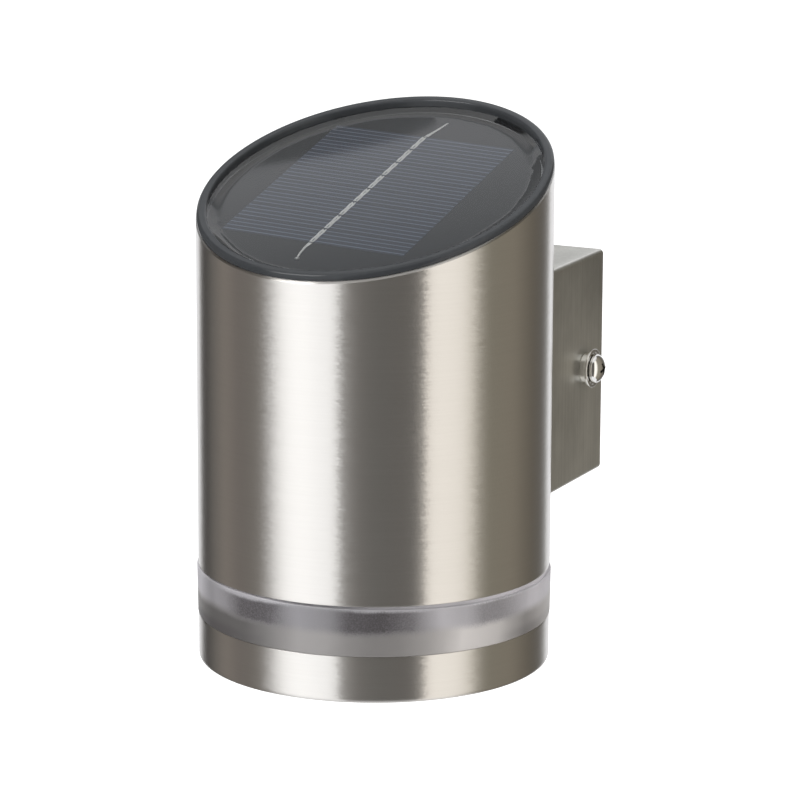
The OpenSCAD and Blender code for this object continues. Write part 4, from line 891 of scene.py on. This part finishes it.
# ---- Carrier, cone and light board
# A white moulded deck closes the tube from below. The light board hangs under it, and a white cone
# on the cap turns its light out through the band.
white = grained("white_plastic", (0.78, 0.78, 0.76), (0.86, 0.86, 0.84), 0.38, 800, 0.0, 0.015)
white.dress("unit_carrier", "reflector_cone")
grained("ivory_plastic", (0.72, 0.69, 0.55), (0.82, 0.79, 0.66), 0.35).dress("lead_plug", "board_socket")
grained("white_laminate", (0.76, 0.77, 0.75), (0.85, 0.86, 0.84), 0.25, 300).dress("led_board")
grained("led_resin", (0.8, 0.68, 0.22), (0.9, 0.8, 0.36), 0.2, 900).dress("led_chips")
black_gloss.dress("battery_holder", "switch_knob")

# ---- Cells, springs and contacts
# Two rechargeable cells in plain green sleeves lie nose to tail in the holder. Nickel plated springs
# and plates at the ends carry their current.
plated = grained("plated_steel", (0.68, 0.67, 0.62), (0.8, 0.79, 0.75), 0.2, 900, 1.0)
plated.dress("contact_plates", "contact_springs", "switch_body")
front_low, front_high = (Vector(v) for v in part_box("battery_front"))
rear_low, rear_high = (Vector(v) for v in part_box("battery_rear"))
pair_y = (front_low.y + rear_high.y) / 2
bay_y = (rear_low.y + rear_high.y) / 2 - pair_y
cell_z = (front_low.z + front_high.z) / 2
can_skin = Skin("battery_can")
shrink = can_skin.noise((500, 900, 900), 3.0, 0.6)
can_y = can_skin.place.node("ShaderNodeSeparateXYZ", None, {"Vector": can_skin.place}, out="Y")
# the sleeve leaves the middle of each end bare
bare_r = 0.0061
off_y = can_y.sum("ABSOLUTE", can_y - pair_y) - bay_y
off_z = can_y.beside("Z") - cell_z
bare_end = off_y.sum("LESS_THAN", off_y.sum("SQRT", off_y * off_y + off_z * off_z), bare_r)
can_skin["Base Color"] = bare_end.node("ShaderNodeMix", {"data_type": "RGBA"}, {
    0: bare_end, 6: can_skin.tint(shrink, (0.05, 0.28, 0.16), (0.09, 0.37, 0.22)), 7: (0.74, 0.73, 0.7, 1)}, out=2)
can_skin["Metallic"] = bare_end
can_skin["Roughness"] = 0.22 + 0.12 * shrink
can_skin["Normal"] = can_skin.bump(shrink, 0.01)
can_line = [(0, 0.35), (5.9, 0.35), (6.05, 0.05), (6.9, 0), (7.18, 0.15), (7.25, 0.4), (7.25, 1.0), (7.25, 47.4),
            (7.25, 48.1), (7.15, 48.5), (6.9, 48.8), (6.5, 48.95), (6.15, 48.75), (6.05, 48.45), (3.5, 48.4),
            (3.4, 48.9), (2.9, 49.05), (2.75, 49.3), (2.75, 50.2), (2.6, 50.45), (2.3, 50.5), (0, 50.5)]
for name, end_x, sign, low, high in (("front", front_low.x, 1, front_low, front_high),
                                     ("rear", rear_high.x, -1, rear_low, rear_high)):
    can = turned("cell_can_" + name, [(r, z, 0) for r, z in can_line], can_skin.material, 96,
                 turn=(0, radians(90 * sign), 0), place=(end_x * 1000, (low.y + high.y) * 500, cell_z * 1000))
    fit(can, "light_unit", "battery_can", "battery_" + name)

# ---- Control board
# A green board on the deck's posts carries the charger: a capacitor with a scored top, a wound coil, a
# chip on eight legs, a diode and four resistors with tinned ends.
green = grained("green_laminate", (0.015, 0.14, 0.06), (0.035, 0.21, 0.1), 0.22, 400)
green.dress("control_board")
cases = grained("part_cases", (0.035, 0.035, 0.037), (0.07, 0.07, 0.075), 0.4, 900)
board_y, board_top = tube_y + 18, -26.2
capacitor_place, coil_place = (-9.6, board_y - 2, board_top), (48 / 4.4, board_y - 2, board_top)
capacitor = turned("capacitor", eased([
    (0, 0, 0, 0), (3.1, 0, 0.2, 0), (3.15, 0.9, 0.2, 0), (2.95, 1.2, 0.2, 0), (3.15, 1.5, 0.2, 0),
    (3.15, 7.5, 0.35, 0), (2.6, 7.5, 0.1, 0), (2.5, 7.35, 0.1, 0), (0, 7.35, 0, 0)], 4, 0.1),
    cases.material, 64, place=capacitor_place)
scores = []
for arm in (30, 120):
    score = bmesh.new()
    prism(score, oblong(-2.1, -0.1, 2.1, 0.1), 7.25, 7.6,
          Matrix.Translation(capacitor_place) @ Matrix.Rotation(radians(arm), 4, "Z"))
    scores.append(mesh_piece("score", score, cases))
fit(drilled(capacitor, *scores), "light_unit", "part_cases", "board_parts")
# one winding shows for every four points of its outline
windings = [(2.75 + 0.16 * sin(pi * k / 2), 0.75 + 0.12 * k, 0) for k in range(26)]
coil = turned("coil", [(0, 0, 0), (3.45, 0, 0), (3.5, 0.1, 0), (3.5, 0.6, 0), (2.75, 0.68, 0)] + windings + [
    (2.75, 3.84, 0), (3.5, 3.9, 0), (3.5, 4.4, 0), (3.4, 4.5, 0), (0, 4.5, 0)],
    cases.material, 64, place=coil_place)
fit(coil, "light_unit", "part_cases")
small = bmesh.new()
for x0, y0, x1, y1, high in ((-2.5, -6.1, 2.5, -2.9, 1.6), (-16.5, -1.6, -13.9, 2.0, 2.0)):
    prism(small, oblong(x0, board_y + y0, x1, board_y + y1), board_top + 0.15, board_top + high)
small_cases = mesh_piece("small_cases", small, cases)
bevel = small_cases.modifiers.new("eased_edges", "BEVEL")
bevel.width, bevel.segments = 0.00018, 2
fit(small_cases, "light_unit", "part_cases")
leg = bmesh.new()
for side in (-1, 1):
    prism(leg, oblong(-0.2, -0.35, 0.2, 0.35), 0.0, 0.18, Matrix.Translation((-1.9, -4.5 + side * 1.95, 0)))
    prism(leg, oblong(-0.2, -0.1, 0.2, 0.1), 0.1, 0.85, Matrix.Translation((-1.9, -4.5 + side * 1.7, 0)))
board_frame = Matrix.Translation((0, board_y, board_top))
fit(in_row("chip_legs", leg, plated, 4, (1.27, 0, 0), board_frame), "light_unit", "plated_steel")
resistor_step = (2.4, 0, 0)
body, tips = bmesh.new(), bmesh.new()
prism(body, oblong(-4, 0.35, -2.75, 1.65), 0.0, 0.6)
for y in (0.02, 1.62):
    prism(tips, oblong(-4.01, y, -2.74, y + 0.36), 0.0, 0.62)
fit(in_row("resistors", body, cases, 4, resistor_step, board_frame), "light_unit", "part_cases")
fit(in_row("resistor_tips", tips, plated, 4, resistor_step, board_frame), "light_unit", "plated_steel")

# ---- Leads
# Thin stranded wires in soft insulation: red from the panel and the cells, grey to the light board and
# from the switch.
red_cover = grained("red_insulation", (0.42, 0.025, 0.02), (0.55, 0.05, 0.035), 0.4)
red_cover.dress("solar_lead", "battery_leads")
grey_cover = grained("grey_insulation", (0.2, 0.2, 0.21), (0.28, 0.28, 0.29), 0.4)
grey_cover.dress("led_leads", "switch_leads")
